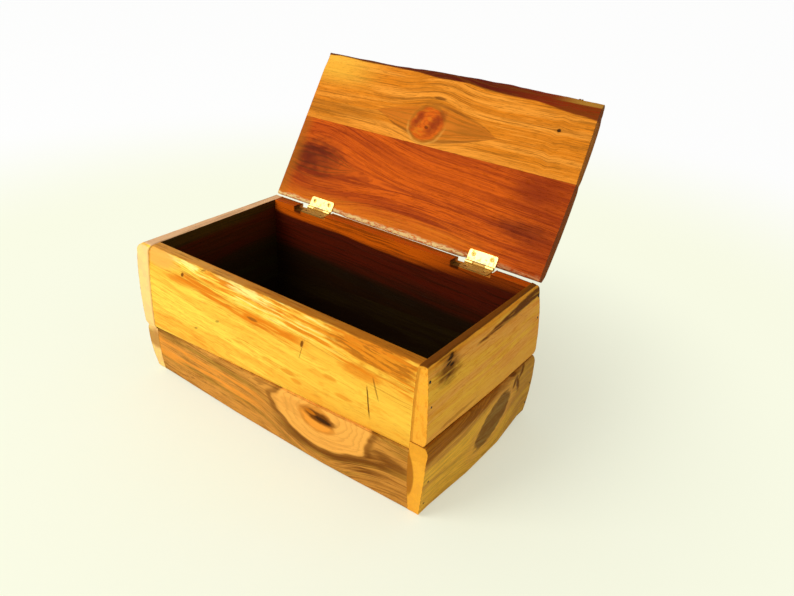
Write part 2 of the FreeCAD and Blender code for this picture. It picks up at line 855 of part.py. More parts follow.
def make_nails(doc, side):
    """Finishing nails driven through an end wall into the ends of the front and back boards."""
    outward = 1 if side == "right" else -1
    top = size("chest_height")
    levels = {
        "lower": (size("nail_above_foot"), size("nail_second_above_foot")),
        "upper": (top - size("nail_second_below_rim"), top - size("nail_below_rim")),
    }
    nails = []
    for direction, station in ((-1, 0), (1, len(WALL_STATIONS) - 1)):
        half = wall_span(side) / 2
        along = (half + size("nail_inset")) * direction * -outward
        for row, heights in levels.items():
            label = f"{side}_{row}_end"
            bottom, height = board_range(side, label, half * direction)
            for number, level in enumerate(heights):
                thickness = face_thickness(label, station, bottom, height, level)
                face = size("inner_length") / 2 + thickness + size("nail_proud")
                name = f"{side}_nail_{row}_{station}_{number}"
                nails.append(make_nail(doc, name, outward, face, along, level))
    group = doc.addObject("Part::Compound", f"{side}_end_nails")
    group.Label = f"{side}_end_nails"
    group.Links = nails


def make_nail(doc, name, outward, face, along, height):
    """A nail of wire with a small head, each drawn with a few flats."""
    shank = doc.addObject("Part::Prism", f"{name}_shank")
    shank.Polygon = 6
    bind(shank, "Circumradius", size("nail_radius"))
    bind(shank, "Height", size("nail_length"))
    head = doc.addObject("Part::Prism", f"{name}_head")
    head.Polygon = 12
    bind(head, "Circumradius", size("nail_head_radius"))
    bind(head, "Height", size("nail_head_height"))
    nail = doc.addObject("Part::Fuse", name)
    nail.Base = shank
    nail.Tool = head
    place(nail, outward * face, along, height, [("y", -90 * outward)])
    return nail


# ---------------------------------------------------------------- document


def check(doc):
    """Stop if any object failed or any piece is missing or broken."""
    for thing in doc.Objects:
        if "Invalid" in thing.State or "Error" in thing.State:
            raise RuntimeError(f"{thing.Label}: {thing.State}")
    for piece in pieces(doc):
        if piece.Shape.isNull() or not piece.Shape.isValid() or not piece.Shape.Solids:
            raise RuntimeError(f"{piece.Label} has no valid shape")


def pieces(doc):
    """The finished pieces: bodies, hinge pins and nail groups."""
    kinds = ("PartDesign::Body", "Part::Compound")
    return [
        thing for thing in doc.Objects
        if thing.TypeId in kinds or thing.Label.endswith("_hinge_pin")
    ]


def export(doc):
    os.makedirs("parts", exist_ok=True)
    for piece in pieces(doc):
        piece.Shape.exportStep(os.path.join("parts", f"{piece.Label}.step"))


document = FreeCAD.newDocument(NAME)
sheet_values = make_sheet(document)
make_walls(document)
make_bottom(document)
make_lid_rear(document)
make_lid_front(document)
make_hinges(document)
make_nails(document, "left")
make_nails(document, "right")
document.recompute()
check(document)
export(document)
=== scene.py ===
"""Rustic plank chest: worn boards, brass butt hinges, nails and a plain studio."""

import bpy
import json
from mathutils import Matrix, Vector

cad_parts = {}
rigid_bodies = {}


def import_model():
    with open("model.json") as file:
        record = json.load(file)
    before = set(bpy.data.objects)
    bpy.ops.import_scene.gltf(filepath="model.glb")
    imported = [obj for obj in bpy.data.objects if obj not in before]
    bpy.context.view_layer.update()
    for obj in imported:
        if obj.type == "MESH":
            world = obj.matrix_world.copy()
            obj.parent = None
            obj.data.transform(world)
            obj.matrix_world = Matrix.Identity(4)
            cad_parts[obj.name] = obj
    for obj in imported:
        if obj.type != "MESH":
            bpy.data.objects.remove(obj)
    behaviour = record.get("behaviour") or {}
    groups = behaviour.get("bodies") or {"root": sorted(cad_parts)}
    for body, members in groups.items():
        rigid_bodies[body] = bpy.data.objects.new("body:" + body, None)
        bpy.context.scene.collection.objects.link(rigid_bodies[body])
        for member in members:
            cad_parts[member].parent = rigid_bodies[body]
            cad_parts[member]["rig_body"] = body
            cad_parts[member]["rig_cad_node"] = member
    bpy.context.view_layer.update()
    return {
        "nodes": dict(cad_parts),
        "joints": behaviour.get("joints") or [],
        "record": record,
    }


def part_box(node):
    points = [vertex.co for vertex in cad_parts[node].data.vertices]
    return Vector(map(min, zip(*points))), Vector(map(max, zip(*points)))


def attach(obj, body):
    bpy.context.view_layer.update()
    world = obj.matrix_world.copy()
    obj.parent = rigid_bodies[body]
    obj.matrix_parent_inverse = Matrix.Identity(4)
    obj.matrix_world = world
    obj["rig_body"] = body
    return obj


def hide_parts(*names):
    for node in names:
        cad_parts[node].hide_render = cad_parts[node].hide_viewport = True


bl_info = {
    "name": "Rustic Plank Chest",
    "version": (1, 0, 0),
    "blender": (4, 5, 0),
    "location": "3D Viewport > Sidebar > Chest",
    "description": "Builds the looks of a small plank chest around its packed frame",
    "category": "Add Mesh",
}

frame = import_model()

import json
import math

import bpy
from mathutils import Matrix, Vector

MM = 0.001
WHITE = (1, 1, 1, 1)

# The hinge gives the lid its own directions, and the bottom board gives the inner walls.
HINGE = frame["joints"][0]
HINGE_AXIS = Vector(HINGE["pos_m"])
LID_LEAN = math.radians(HINGE["range_deg"][1] - 90)
LID_FACE = 1.6 * MM      # from the hinge axis out to the lid's inner face
LID_JOINT = 78           # where the lid's boards meet, in millimetres across it
INNER_LOW, INNER_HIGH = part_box("bottom_board")

LARGEST_SCALE = 0.99     # that the remesh modifier takes
SAME_POINT = 0.002 * MM  # vertices of a CAD copy that are nearer than this are merged
CRISP_EDGE = math.radians(35)
BOARD_SMOOTHING = math.radians(50)
METAL_SMOOTHING = math.radians(40)
WEAR_LEVELS = 20         # steps in the weights that say where a board is worn
LIP_FADE = 9             # millimetres along which the lid's lip falls back at its ends
FASTENER_GAP = 5 * MM    # fasteners of one node stand further apart than this
SAME_HEIGHT = 0.01 * MM  # vertices this near the top of a CAD head are on its rim
SCREW_RIM = 0.08 * MM    # thickness of a screw head's rim
SCREW_FLATS = 24
NAIL_FLATS = 20
NAIL_SINK = 0.25 * MM    # from the CAD head's top down to the rim of the modelled one
FIRST_TURN = 25          # how far the first fastener of a node is turned, in degrees,
NEXT_TURN = 47           # and how much further each of the others

FLOOR_RADIUS = 6
LAMP_PLACE = Vector((-0.75, -1.25, 1.15))
LAMP_AIM = Vector((0, 0, 0.08))
CAMERA_PLACE = Vector((0.3343, -0.3796, 0.3609))
CAMERA_ANGLES = (36.10, 28.54, 2.385)    # azimuth, elevation and roll, in degrees
IMAGE_WIDTH = 794        # in pixels
FOCAL_LENGTH = 750.18    # in pixels
SENSOR_WIDTH = 36        # in millimetres


def tone(code):
    """A colour written as on the screen, such as 0xE8B04A, turned to linear light."""
    parts = [(code >> shift & 255) / 255 for shift in (16, 8, 0)]
    return tuple(p / 12.92 if p <= 0.04045 else ((p + 0.055) / 1.055) ** 2.4 for p in parts)


# ---------------------------------------------------------------- settings


def colour_setting(name, code, description):
    return bpy.props.FloatVectorProperty(
        name=name, description=description, default=tone(code), subtype="COLOR", min=0, max=1
    )


def length_setting(name, millimetres, description):
    return bpy.props.FloatProperty(
        name=name, description=description, default=millimetres * MM, min=0, unit="LENGTH",
        precision=5,
    )


class ChestColours(bpy.types.PropertyGroup):
    """Colours of the woods and metals"""

    # The palest cream is pale grain, and also painted highlight along the front's top edge and the
    # lid's hinge arris.
    cream: colour_setting("Cream", 0xFCEB84, "Palest streaks of the sapwood")
    gold: colour_setting("Gold", 0xF9D84E, "Front sapwood")
    honey: colour_setting("Honey", 0xFABE3E, "Warmer sapwood")
    apricot: colour_setting("Apricot", 0xF5AD4A, "Pale wood round the knots")
    orange: colour_setting("Orange", 0xFCAE30, "Sawn ends at the right corner")
    saffron: colour_setting("Saffron", 0xF59A30, "Orange-gold wood of the lid")
    amber: colour_setting("Amber", 0xE08012, "Orange streaks")
    ember: colour_setting("Ember", 0xE07414, "Worn red-brown wood")
    flax: colour_setting("Flax", 0xF7D694, "Sawn ends at the left corner")
    # This pale colour serves for rims and, on the lid's hinge arris, partly as painted highlight.
    sand: colour_setting("Sand", 0xE2B284, "Pale worn rims and arrises")
    tan: colour_setting("Tan", 0xD4913A, "Pale brown heartwood")
    olive: colour_setting("Olive", 0xB4822E, "Grey-green mineral streaks")
    brown: colour_setting("Brown", 0xA66110, "Brown growth lines")
    knot: colour_setting("Knot", 0x8D6C33, "Grey-brown knot")
    umber: colour_setting("Umber", 0x703C04, "Dark growth lines")
    russet: colour_setting("Russet", 0xDA5E04, "Red-brown heartwood of the lid")
    rust: colour_setting("Rust", 0xBC4A02, "Darker bands of the red-brown board")
    mahogany: colour_setting("Mahogany", 0x882A00, "Dark figure of the red-brown board")
    bark: colour_setting("Bark", 0x581400, "Live edge")
    # The next three colours are painted shade inside the chest: a dark red-brown for inner faces
    # near the rim, a dark olive-brown for the left end's inner face, and near-black deeper down.
    # The near-black also serves for cracks and knots' hearts.
    inside: colour_setting("Inside", 0x4C0A02, "Inner faces near the rim")
    dusk: colour_setting("Dusk", 0x4A3208, "Inner face of the left end near its rim")
    soot: colour_setting("Soot", 0x090301, "Cracks, knots' hearts and the inside")
    brass: colour_setting("Brass", 0xEBCB78, "Hinge brass")
    # This dull brass is the screw heads' own colour, and also the base of the painted shade on the
    # hinge pins and wall leaves.
    dull_brass: colour_setting("Dull brass", 0xB08A44, "Screw heads")
    steel: colour_setting("Steel", 0x3A342C, "Nail heads")


class PlankSizes(bpy.types.PropertyGroup):
    """How the boards are worn"""

    fineness: length_setting("Fineness", 0.85, "Size of the facets that a board is carved in")
    ripple: length_setting("Ripple", 0.4, "Depth of the hand-planed waves")
    ripple_length: length_setting("Ripple length", 24, "Length of the waves along the board")
    wear: length_setting("Wear", 1.3, "Depth of the hollows along worn edges")
    wear_length: length_setting("Wear length", 16, "Length of the hollows along the board")
    wear_width: length_setting("Wear width", 5, "Width of the hollows across the board")
    lip: length_setting("Lip", 1.4, "How far the lid's rear edge stands out between the hinges")
    lip_end: length_setting("Lip end", 66, "Where that edge falls back, from the middle")


class ScrewSizes(bpy.types.PropertyGroup):
    """Countersunk cross-head screws"""

    head_radius: length_setting("Head radius", 1.72, "Radius of the head")
    head_height: length_setting("Head height", 1.0, "Height of the cone under the head")
    dome: length_setting("Dome", 0.18, "Rise of the middle of the head")
    shank_radius: length_setting("Shank radius", 0.85, "Radius of the shank")
    shank_length: length_setting("Shank length", 3.2, "Length of the shank that is modelled")
    cross_length: length_setting("Cross length", 2.0, "Length of the cross's arms")
    cross_width: length_setting("Cross width", 0.5, "Width of the cross's arms")
    cross_depth: length_setting("Cross depth", 0.6, "Depth of the cross")


class NailSizes(bpy.types.PropertyGroup):
    """Nails with small domed heads"""

    head_radius: length_setting("Head radius", 1.05, "Radius of the head")
    head_height: length_setting("Head height", 0.8, "Height of the head")
    dome: length_setting("Dome", 0.15, "Rise of the middle of the head")
    shank_radius: length_setting("Shank radius", 0.65, "Radius of the shank")
    shank_length: length_setting("Shank length", 6, "Length of the shank that is modelled")


class StageSettings(bpy.types.PropertyGroup):
    """Studio floor and light"""

    floor: colour_setting("Floor", 0xFAFCE6, "Floor near the chest")
    key: bpy.props.FloatProperty(
        name="Key", description="Power of the large lamp", default=23.5, unit="POWER"
    )
    fill: bpy.props.FloatProperty(
        name="Fill", description="Strength of the light from all round", default=0.5
    )
    key_size: bpy.props.FloatProperty(
        name="Key size", description="Side of the large lamp", default=1.1, unit="LENGTH"
    )


SETTINGS = {
    "chest_colours": ChestColours,
    "chest_planks": PlankSizes,
    "chest_screws": ScrewSizes,
    "chest_nails": NailSizes,
    "chest_stage": StageSettings,
}


def colour(name):
    """One of the chest's colours, opaque."""
    return (*getattr(bpy.context.scene.chest_colours, name), 1)


# ---------------------------------------------------------------- shader arithmetic


class Value:
    """A number that varies over a surface. Arithmetic on it adds Math nodes."""

    def __init__(self, nodes, socket):
        self.nodes = nodes
        self.socket = socket

    def math(self, operation, *values):
        return self.nodes.add("ShaderNodeMath", {"operation": operation}, values)

    def __add__(self, other):
        return self.math("ADD", self, other)

    __radd__ = __add__

    def __sub__(self, other):
        return self.math("SUBTRACT", self, other)

    def __rsub__(self, other):
        return self.math("SUBTRACT", other, self)

    def __mul__(self, other):
        return self.math("MULTIPLY", self, other)

    __rmul__ = __mul__

    def __truediv__(self, other):
        return self.math("DIVIDE", self, other)

    def __rtruediv__(self, other):
        return self.math("DIVIDE", other, self)

    def root(self):
        return self.math("SQRT", self)

    def exp(self):
        return self.math("EXPONENT", self)

    def tanh(self):
        return self.math("TANH", self)

    def size(self):
        return self.math("ABSOLUTE", self)

    def fraction(self):
        return self.math("FRACT", self)

    def whole(self):
        return self.math("FLOOR", self)

    def higher(self, other):
        return self.math("MAXIMUM", self, other)

    def rise(self, low, high):
        """0 below low, 1 above high, smooth between; low may be the larger."""
        return self.nodes.add(
            "ShaderNodeMapRange",
            {"interpolation_type": "SMOOTHSTEP"},
            {"Value": self, "From Min": low, "From Max": high, "To Min": 0.0, "To Max": 1.0},
        )

    def hill(self, foot, top, far_top, far_foot):
        """1 from top to far_top, and 0 outside the feet."""
        return self.rise(foot, top) * self.rise(far_foot, far_top)

    def swing(self, reach):
        """Turn noise about 0.5 into noise about 0 that is reach times as strong."""
        return (self - 0.5) * reach


def most(mask, *others):
    """The highest of several masks."""
    for other in others:
        mask = mask.higher(other)
    return mask


class Nodes:
    """The nodes of a material or a world."""

    def __init__(self, tree):
        self.tree = tree
        tree.nodes.clear()

    def add(self, kind, settings=None, inputs=(), output=0):
        """Add a node: its settings first, then the values or links of its sockets."""
        node = self.tree.nodes.new(kind)
        for name, setting in (settings or {}).items():
            setattr(node, name, setting)
        pairs = inputs.items() if isinstance(inputs, dict) else enumerate(inputs)
        for key, value in pairs:
            if isinstance(value, Value):
                self.tree.links.new(value.socket, node.inputs[key])
            else:
                node.inputs[key].default_value = value
        return Value(self, node.outputs[output]) if node.outputs else None


class Finish(Nodes):
    """A material in the making."""

    def __init__(self, name):
        self.material = bpy.data.materials.new(name)
        self.material.use_nodes = True
        super().__init__(self.material.node_tree)

    def mix(self, mask, under, over):
        """Lay one colour over another where the mask is 1. Colours may be given by name."""
        under, over = (colour(item) if isinstance(item, str) else item for item in (under, over))
        return self.add("ShaderNodeMix", {"data_type": "RGBA"}, {0: mask, 6: under, 7: over}, 2)

    def noise(self, place, fineness, seed=0.0, detail=2.0, roughness=0.5):
        """Noise about 0.5, with so many features a unit along, across and through.

        Two numbers do where through is as fine as across.
        """
        moved = self.add("ShaderNodeMapping", None, {
            "Vector": place,
            "Location": (seed * 7.3, seed * 3.1, seed * 5.7),
            "Scale": (*fineness, fineness[1])[:3],
        })
        inputs = {"Vector": moved, "Scale": 1.0, "Detail": detail, "Roughness": roughness}
        return self.add("ShaderNodeTexNoise", None, inputs)

    def close(self, base, roughness, height, relief, metallic=0.0, specular=0.05):
        """End the material in a Principled shader, with the height as bump."""
        bump = {"Height": height, "Distance": relief, "Strength": 1.0}
        shader = self.add("ShaderNodeBsdfPrincipled", None, {
            "Base Color": base,
            "Roughness": roughness,
            "Metallic": metallic,
            "Specular IOR Level": specular,
            "Normal": self.add("ShaderNodeBump", None, bump),
        })
        self.add("ShaderNodeOutputMaterial", None, {"Surface": shader})
        return self.material


# ---------------------------------------------------------------- wood


def lid_direction(out, forward):
    """A direction on the open lid, from its outward and forward parts."""
    sine, cosine = math.sin(LID_LEAN), math.cos(LID_LEAN)
    return Vector((0, out * cosine + forward * sine, forward * cosine - out * sine))


# For each side of the chest: a point of the inner face, then the directions along the
# boards, across them and through them from the inside out.
RIGHT, BACK, UP = Vector((1, 0, 0)), Vector((0, 1, 0)), Vector((0, 0, 1))
LID_OUT = lid_direction(1, 0)
SIDES = {
    "front": (Vector((0, INNER_LOW.y, 0)), RIGHT, UP, -BACK),
    "back": (Vector((0, INNER_HIGH.y, 0)), RIGHT, UP, BACK),
    "right": (Vector((INNER_HIGH.x, 0, 0)), BACK, UP, RIGHT),
    "left": (Vector((INNER_LOW.x, 0, 0)), BACK, UP, -RIGHT),
    "bottom": (Vector((0, 0, 0)), RIGHT, BACK, UP),
    "lid": (HINGE_AXIS + LID_OUT * LID_FACE, RIGHT, lid_direction(0, 1), LID_OUT),
}


class Wood(Finish):
    """The material of one board, whose grain has its own coordinates in millimetres.

    pith is the middle of the growth lines, (across, through). spacing is how far apart they
    are, and slope how steeply they taper along the board. wander is how far the grain strays,
    and drift how far it falls along the board. swirls are the knots that it flows round,
    (along, across, pull, reach) each.
    """

    def __init__(
        self, name, side, seed, pith, spacing, slope=0.0, wander=3.0, drift=0.0, swirls=()
    ):
        super().__init__(name)
        self.seed = seed
        origin, *directions = SIDES[side]
        place = self.add("ShaderNodeTexCoord", None, (), "Object")
        place = self.add("ShaderNodeVectorMath", {"operation": "SUBTRACT"}, (place, tuple(origin)))
        self.along, self.across, self.through = (
            self.part(place, direction / MM) for direction in directions
        )
        normal = self.add("ShaderNodeTexCoord", None, (), "Normal")
        self.end_on = self.part(normal, directions[0]).size().rise(0.55, 0.8)
        self.inner = self.part(normal, directions[2]).rise(-0.4, -0.75)
        self.place = self.combine(self.along, self.across, self.through)
        slow = self.noise(self.place, (0.011, 0.03), seed, 1.0)
        quick = self.noise(self.place, (0.035, 0.11), seed + 1, 1.0)
        flow = self.across + self.along * drift
        flow = flow + slow.swing(2 * wander) + quick.swing(0.5 * wander)
        for along, across, pull, reach in swirls:
            distance = (self.along - along) / reach
            push = (0 - distance * distance).exp() * pull
            gap = flow - (across + along * drift)
            flow = flow - push * (gap / (push + 0.4)).tanh()
        self.fibre_place = self.combine(self.along, flow, self.through)
        sideways = flow - pith[0]
        inward = self.through - pith[1]
        self.radius = (sideways * sideways + inward * inward).root() + self.along * slope
        self.rings = self.growth(spacing)
        self.bands = self.noise(self.fibre_place, (0.006, 0.10), seed + 4, 2.0)
        self.grain = self.noise(self.fibre_place, (0.012, 0.55), seed + 2, 4.0, 0.72)
        self.fibre = self.noise(self.fibre_place, (0.035, 1.3), seed + 7, 2.0, 0.65)
        self.mottle = self.noise(self.place, (0.045, 0.16), seed + 8, 3.0, 0.6)
        self.edge = self.add("ShaderNodeAttribute", {"attribute_name": "edge"}, (), "Fac")
        self.pores = self.noise(self.fibre_place, (0.11, 1.5), seed + 3, 1.0)
        self.wobble = self.noise(self.place, (0.03, 0.07), seed + 6, 1.0)
        self.ragged = self.noise(self.place, (0.12, 0.3), seed + 5, 2.0)

    def combine(self, x, y, z):
        return self.add("ShaderNodeCombineXYZ", None, (x, y, z))

    def part(self, vector, direction):
        """How far a vector reaches in a direction."""
        inputs = (vector, tuple(direction))
        return self.add("ShaderNodeVectorMath", {"operation": "DOT_PRODUCT"}, inputs, "Value")

    def growth(self, spacing):
        """Growth lines: each darkens slowly outwards, then ends sharply."""
        on_line = {"noise_dimensions": "1D"}
        place = self.radius * (0.22 / spacing) + self.seed
        inputs = {"W": place, "Scale": 1.0, "Detail": 1.0}
        phase = self.radius / spacing + self.add("ShaderNodeTexNoise", on_line, inputs) * 3.0
        line = phase.fraction().hill(0.25, 0.9, 0.93, 1.0)
        inputs = {"W": phase.whole()}
        strength = self.add("ShaderNodeTexWhiteNoise", on_line, inputs, "Value")
        return line * (strength * 0.8 + 0.2)

    def oval(self, along, across, length, width, turn=0.0, ragged=0.0):
        """Distance from the middle of an oval, 1 on its edge. turn is in degrees."""
        cosine, sine = math.cos(math.radians(turn)), math.sin(math.radians(turn))
        beside, above = self.along - along, self.across - across
        ahead = (beside * cosine + above * sine) / length
        aside = (above * cosine - beside * sine) / width
        distance = (ahead * ahead + aside * aside).root()
        return distance + self.ragged.swing(2 * ragged) if ragged else distance

    def spot(self, along, across, length, width, turn=0.0, edge=0.35, ragged=0.35):
        """An oval patch, 1 inside and 0 outside, with an uneven edge."""
        return self.oval(along, across, length, width, turn, ragged).rise(1 + edge, 1 - edge)

    def lens(self, along, across, reach, height):
        """Distance from the middle line of a pointed eye, 1 on its outline."""
        share = (self.along - along) / reach
        left = (1 - share * share).higher(0.03)
        above = self.across - across + self.wobble.swing(4)
        return above.size() / (left * left.root() * height)

    def between(self, low, high, soft=2.0):
        """1 on the stretch of the board from low to high."""
        return self.along.hill(low - soft, low + soft, high - soft, high + soft)

    def stroke(self, start, stop, width):
        """A thin crack or scratch between two points."""
        run, lift = stop[0] - start[0], stop[1] - start[1]
        length = math.hypot(run, lift)
        beside, above = self.along - start[0], self.across - start[1]
        ahead = (beside * run + above * lift) / length
        aside = (above * run - beside * lift) / length + self.ragged.swing(0.6)
        ends = (ahead / length).hill(-0.06, 0.2, 0.7, 1.06)
        return aside.size().rise(width, width * 0.2) * ends

    def streaks(self, low, high, fineness=(0.012, 0.25), seed=10):
        """Long streaks that follow the grain."""
        noise = self.noise(self.fibre_place, fineness, self.seed + seed, 3.0, 0.6)
        return noise.rise(low, high)

    def paint(self, mask, over):
        """Lay a colour over the board where the mask is 1."""
        self.base = self.mix(mask, self.base, over)

    def weave(self, light, shade, line, rings=0.5, streaks=0.6, shaded=0.5):
        """Paint the plain colour of a board: bands, growth lines and streaks."""
        middle = 0.62 - 0.2 * shaded
        self.base = self.mix(self.bands.rise(middle - 0.07, middle + 0.07), light, shade)
        self.paint(self.rings * rings, line)
        self.paint(self.mottle.rise(0.5, 0.7) * 0.35, shade)
        self.paint(self.mottle.rise(0.48, 0.3) * 0.35, light)
        self.paint(self.grain.rise(0.51, 0.66) * streaks, line)
        self.paint(self.grain.rise(0.46, 0.33) * (streaks * 0.8), light)
        self.paint(self.fibre.rise(0.5, 0.62) * 0.5, line)
        self.paint(self.pores.rise(0.6, 0.72) * 0.4, line)

    def dirty(self, dirt="brown", strength=0.55):
        """Darken the edges and joints unevenly."""
        self.paint(self.edge.rise(0.2, 0.8) * self.ragged.rise(0.36, 0.58) * strength, dirt)

    def end(self, marks=None, roughness=0.5, depth=0.35 * MM):
        """End the material: fibres and growth lines stand up, pores and marks are sunk."""
        height = self.fibre * 0.4 + self.grain * 0.6 + self.rings * 0.2
        height = height - self.pores.rise(0.6, 0.72) * 0.4
        if marks is not None:
            height = height - marks * 2.0
        return self.close(self.base, roughness, height, depth)

    def end_wall(self, inner_top="inside", rim="umber", marks=None, stain_end=96, notch_shade=None):
        """Paint the rim and the inner face of a wall board, then end its material. The inner face
        is painted shade: the top colour near the rim, darkening downwards to near-black, and the
        hinge notches are painted near-black shade.
        """
        if rim:
            top = (self.across + self.ragged.swing(0.8)).rise(113.1, 113.6)
            self.paint(top * 0.92, rim)
            self.paint(top * self.grain.rise(0.5, 0.64) * 0.5, "umber")
        self.dirty()
        # Painted shade on the inner face: from the top colour near the rim to dark red-brown, then
        # near-black further down.
        depth = self.across + self.bands.swing(24) + self.grain.swing(10)
        top = self.mix(self.along.rise(20, 95) * 0.7, inner_top, "inside")
        inner_colour_and_shade = self.mix(depth.rise(101, 109), "inside", top)
        inner_colour_and_shade = self.mix(self.grain.rise(0.48, 0.6) * 0.5, inner_colour_and_shade, "soot")
        inner_colour_and_shade = self.mix(depth.rise(stain_end, stain_end - 26), inner_colour_and_shade, "soot")
        self.paint(self.inner * 0.98, inner_colour_and_shade)
        # Painted shade in the hinge notches.
        if notch_shade is not None:
            self.paint(notch_shade * 0.85, "soot")
        return self.end(marks, self.grain * 0.16 + 0.5)

    def end_lid(self, marks):
        """Darken the outer face and the sawn ends of a lid board, then end its material."""
        self.dirty("umber", 0.5)
        self.paint(self.through.rise(3.0, 7.0) * 0.45, "brown")
        self.paint(self.end_on * 0.6, "umber")
        return self.end(marks, self.grain * 0.16 + 0.46)


def front_upper_finish():
    """Gold sapwood with orange streaks that run down to the right from its top edge."""
    wood = Wood("front_upper_wood", "front", 3, (30, 95), 4.2, slope=0.07, wander=4, drift=0.06)
    wood.weave("gold", "honey", "amber", 0.25, 0.4)
    warm = (wood.along + wood.bands.swing(200)).rise(-50, 100)
    wood.paint(warm * 0.75, "honey")
    lower = (wood.across + wood.bands.swing(30)).rise(70, 54) * wood.along.rise(-20, 60)
    wood.paint(lower * 0.3, "amber")
    slant = wood.across + wood.along * 0.085 + wood.wobble.swing(8)
    band = (slant - 93).size().rise(7, 3) * wood.between(-105, 35, 14)
    wood.paint(band * wood.streaks(0.4, 0.56, (0.014, 0.22)), "amber")
    top = slant.rise(97, 103)
    wood.paint(top * wood.streaks(0.48, 0.58, (0.022, 0.42), 12) * 0.9, "amber")
    # Pale cream streaks along the top edge, on the left: painted highlights on the scalloped rim,
    # mixed with pale grain.
    pale = top * wood.streaks(0.47, 0.38, (0.022, 0.42), 12) * wood.along.rise(80, 20)
    wood.paint(pale * 0.85, "cream")
    lines = slant.rise(86, 92) * wood.streaks(0.56, 0.62, (0.012, 0.8), 18)
    wood.paint(lines * 0.35, "brown")
    clouds = wood.mottle.rise(0.54, 0.66) * wood.along.rise(-80, 20)
    wood.paint(clouds * 0.3, "amber")
    wood.paint(wood.spot(-116, 108, 20, 7) * 0.95, "apricot")
    # A pale cream streak just under the rim: a painted highlight.
    highlight_streak = wood.spot(-18, 110.5, 24, 2.4, -3, 0.5, 0.7)
    wood.paint(highlight_streak * wood.streaks(0.62, 0.5, (0.03, 0.4), 17) * 0.9, "cream")
    wood.paint(wood.spot(-15, 94, 8, 2.2), "amber")
    wood.paint(wood.spot(-13, 93.6, 5, 1.2), "brown")
    zone = wood.spot(94, 108, 36, 8.5, -3, 0.4, 0.6)
    wood.paint(zone * 0.85, "amber")
    wood.paint(zone * wood.streaks(0.48, 0.56, (0.05, 0.45), 15) * 0.75, "brown")
    wood.paint(wood.spot(86, 92, 16, 5) * 0.7, "amber")
    for along, across, length in ((22, 65, 7), (30, 61, 5), (60, 77, 6), (72, 67, 7)):
        wood.paint(wood.spot(along, across, length, 1.8) * 0.6, "amber")
    marks = most(
        wood.spot(-88, 103, 1.8, 1.2, 50, 0.3, 0.2),
        wood.spot(34.5, 92.6, 1.1, 2.6, -12, 0.3, 0.2),
        wood.stroke((91, 85), (94.6, 60), 0.75),
        wood.stroke((95, 93), (101.5, 76), 0.8) * 0.6,
        wood.stroke((32, 80), (37, 98), 0.6) * 0.45,
        wood.spot(-75, 63, 2.0, 0.8, 20) * 0.5,
        wood.spot(-50, 78, 2.0, 0.8, 20) * 0.5,
        wood.spot(-66, 113, 2.0, 0.8, 20) * 0.5,
    )
    wood.paint(marks * 0.9, "umber")
    rim = wood.mix(wood.along.rise(20, -90) * 0.8, "brown", "tan")
    return wood.end_wall(rim=rim, marks=marks)


def front_lower_finish():
    """Brown heartwood with a pale eye round a long dark knot."""
    wood = Wood(
        "front_lower_wood", "front", 11, (44, 70), 5.0, slope=-0.03, swirls=[(50, 44, 20, 40)]
    )
    wood.weave("tan", "olive", "umber", 0.3, 0.4, 0.3)
    glow = (wood.across - 28 + wood.bands.swing(24)).size().rise(12, 5) * wood.along.rise(10, -30)
    wood.paint(glow * wood.streaks(0.36, 0.62, seed=14) * 0.75, "saffron")
    wood.paint(wood.along.rise(60, 125) * 0.15, "brown")
    eye = wood.oval(57, 43, 47, 26, 4) + wood.wobble.swing(0.4)
    eye = eye + (wood.along - 60).rise(0, 50) * 0.2
    dark = eye.hill(1.0, 1.12, 1.4, 1.9) * wood.along.rise(0, 40)
    dark = dark * wood.across.hill(7, 15, 30, 42)
    dark = dark * wood.streaks(0.42, 0.54, (0.012, 0.32), 16)
    wood.paint(dark * 0.9, "umber")
    wood.paint(wood.spot(114, 36, 15, 4, -8, 0.5) * 0.7, "umber")
    wood.paint(eye.hill(0.97, 1.04, 1.08, 1.2) * 0.6, "umber")
    lines = (eye * 7 + wood.grain.swing(2)).fraction().rise(0.45, 0.95)
    pale = wood.mix(lines * 0.55, "apricot", "tan")
    pale = wood.mix(wood.grain.rise(0.52, 0.62) * 0.5, pale, "tan")
    wood.paint(eye.rise(1.03, 0.95), pale)
    halo = wood.oval(50, 39.5, 15, 8.6, -4) + wood.wobble.swing(0.4) + wood.ragged.swing(0.3)
    wood.paint(halo.rise(1.3, 0.8) * 0.9, "saffron")
    wood.paint(halo.hill(0.8, 1.0, 1.05, 1.25) * 0.4, "brown")
    heart = wood.spot(52, 42, 14, 4.4, -4, 0.35, 0.3)
    wood.paint(heart, "umber")
    wood.paint(wood.spot(56, 41.2, 8, 1.6, -4) * 0.7, "soot")
    wood.paint(wood.spot(44, 43.4, 5, 1.4, -4) * 0.6, "amber")
    wedge = (wood.across - wood.along * 0.16 + wood.wobble.swing(10)).rise(56, 62)
    wood.paint(wedge * wood.along.rise(-60, -115) * 0.55, "umber")
    return wood.end_wall(rim=None, marks=heart)


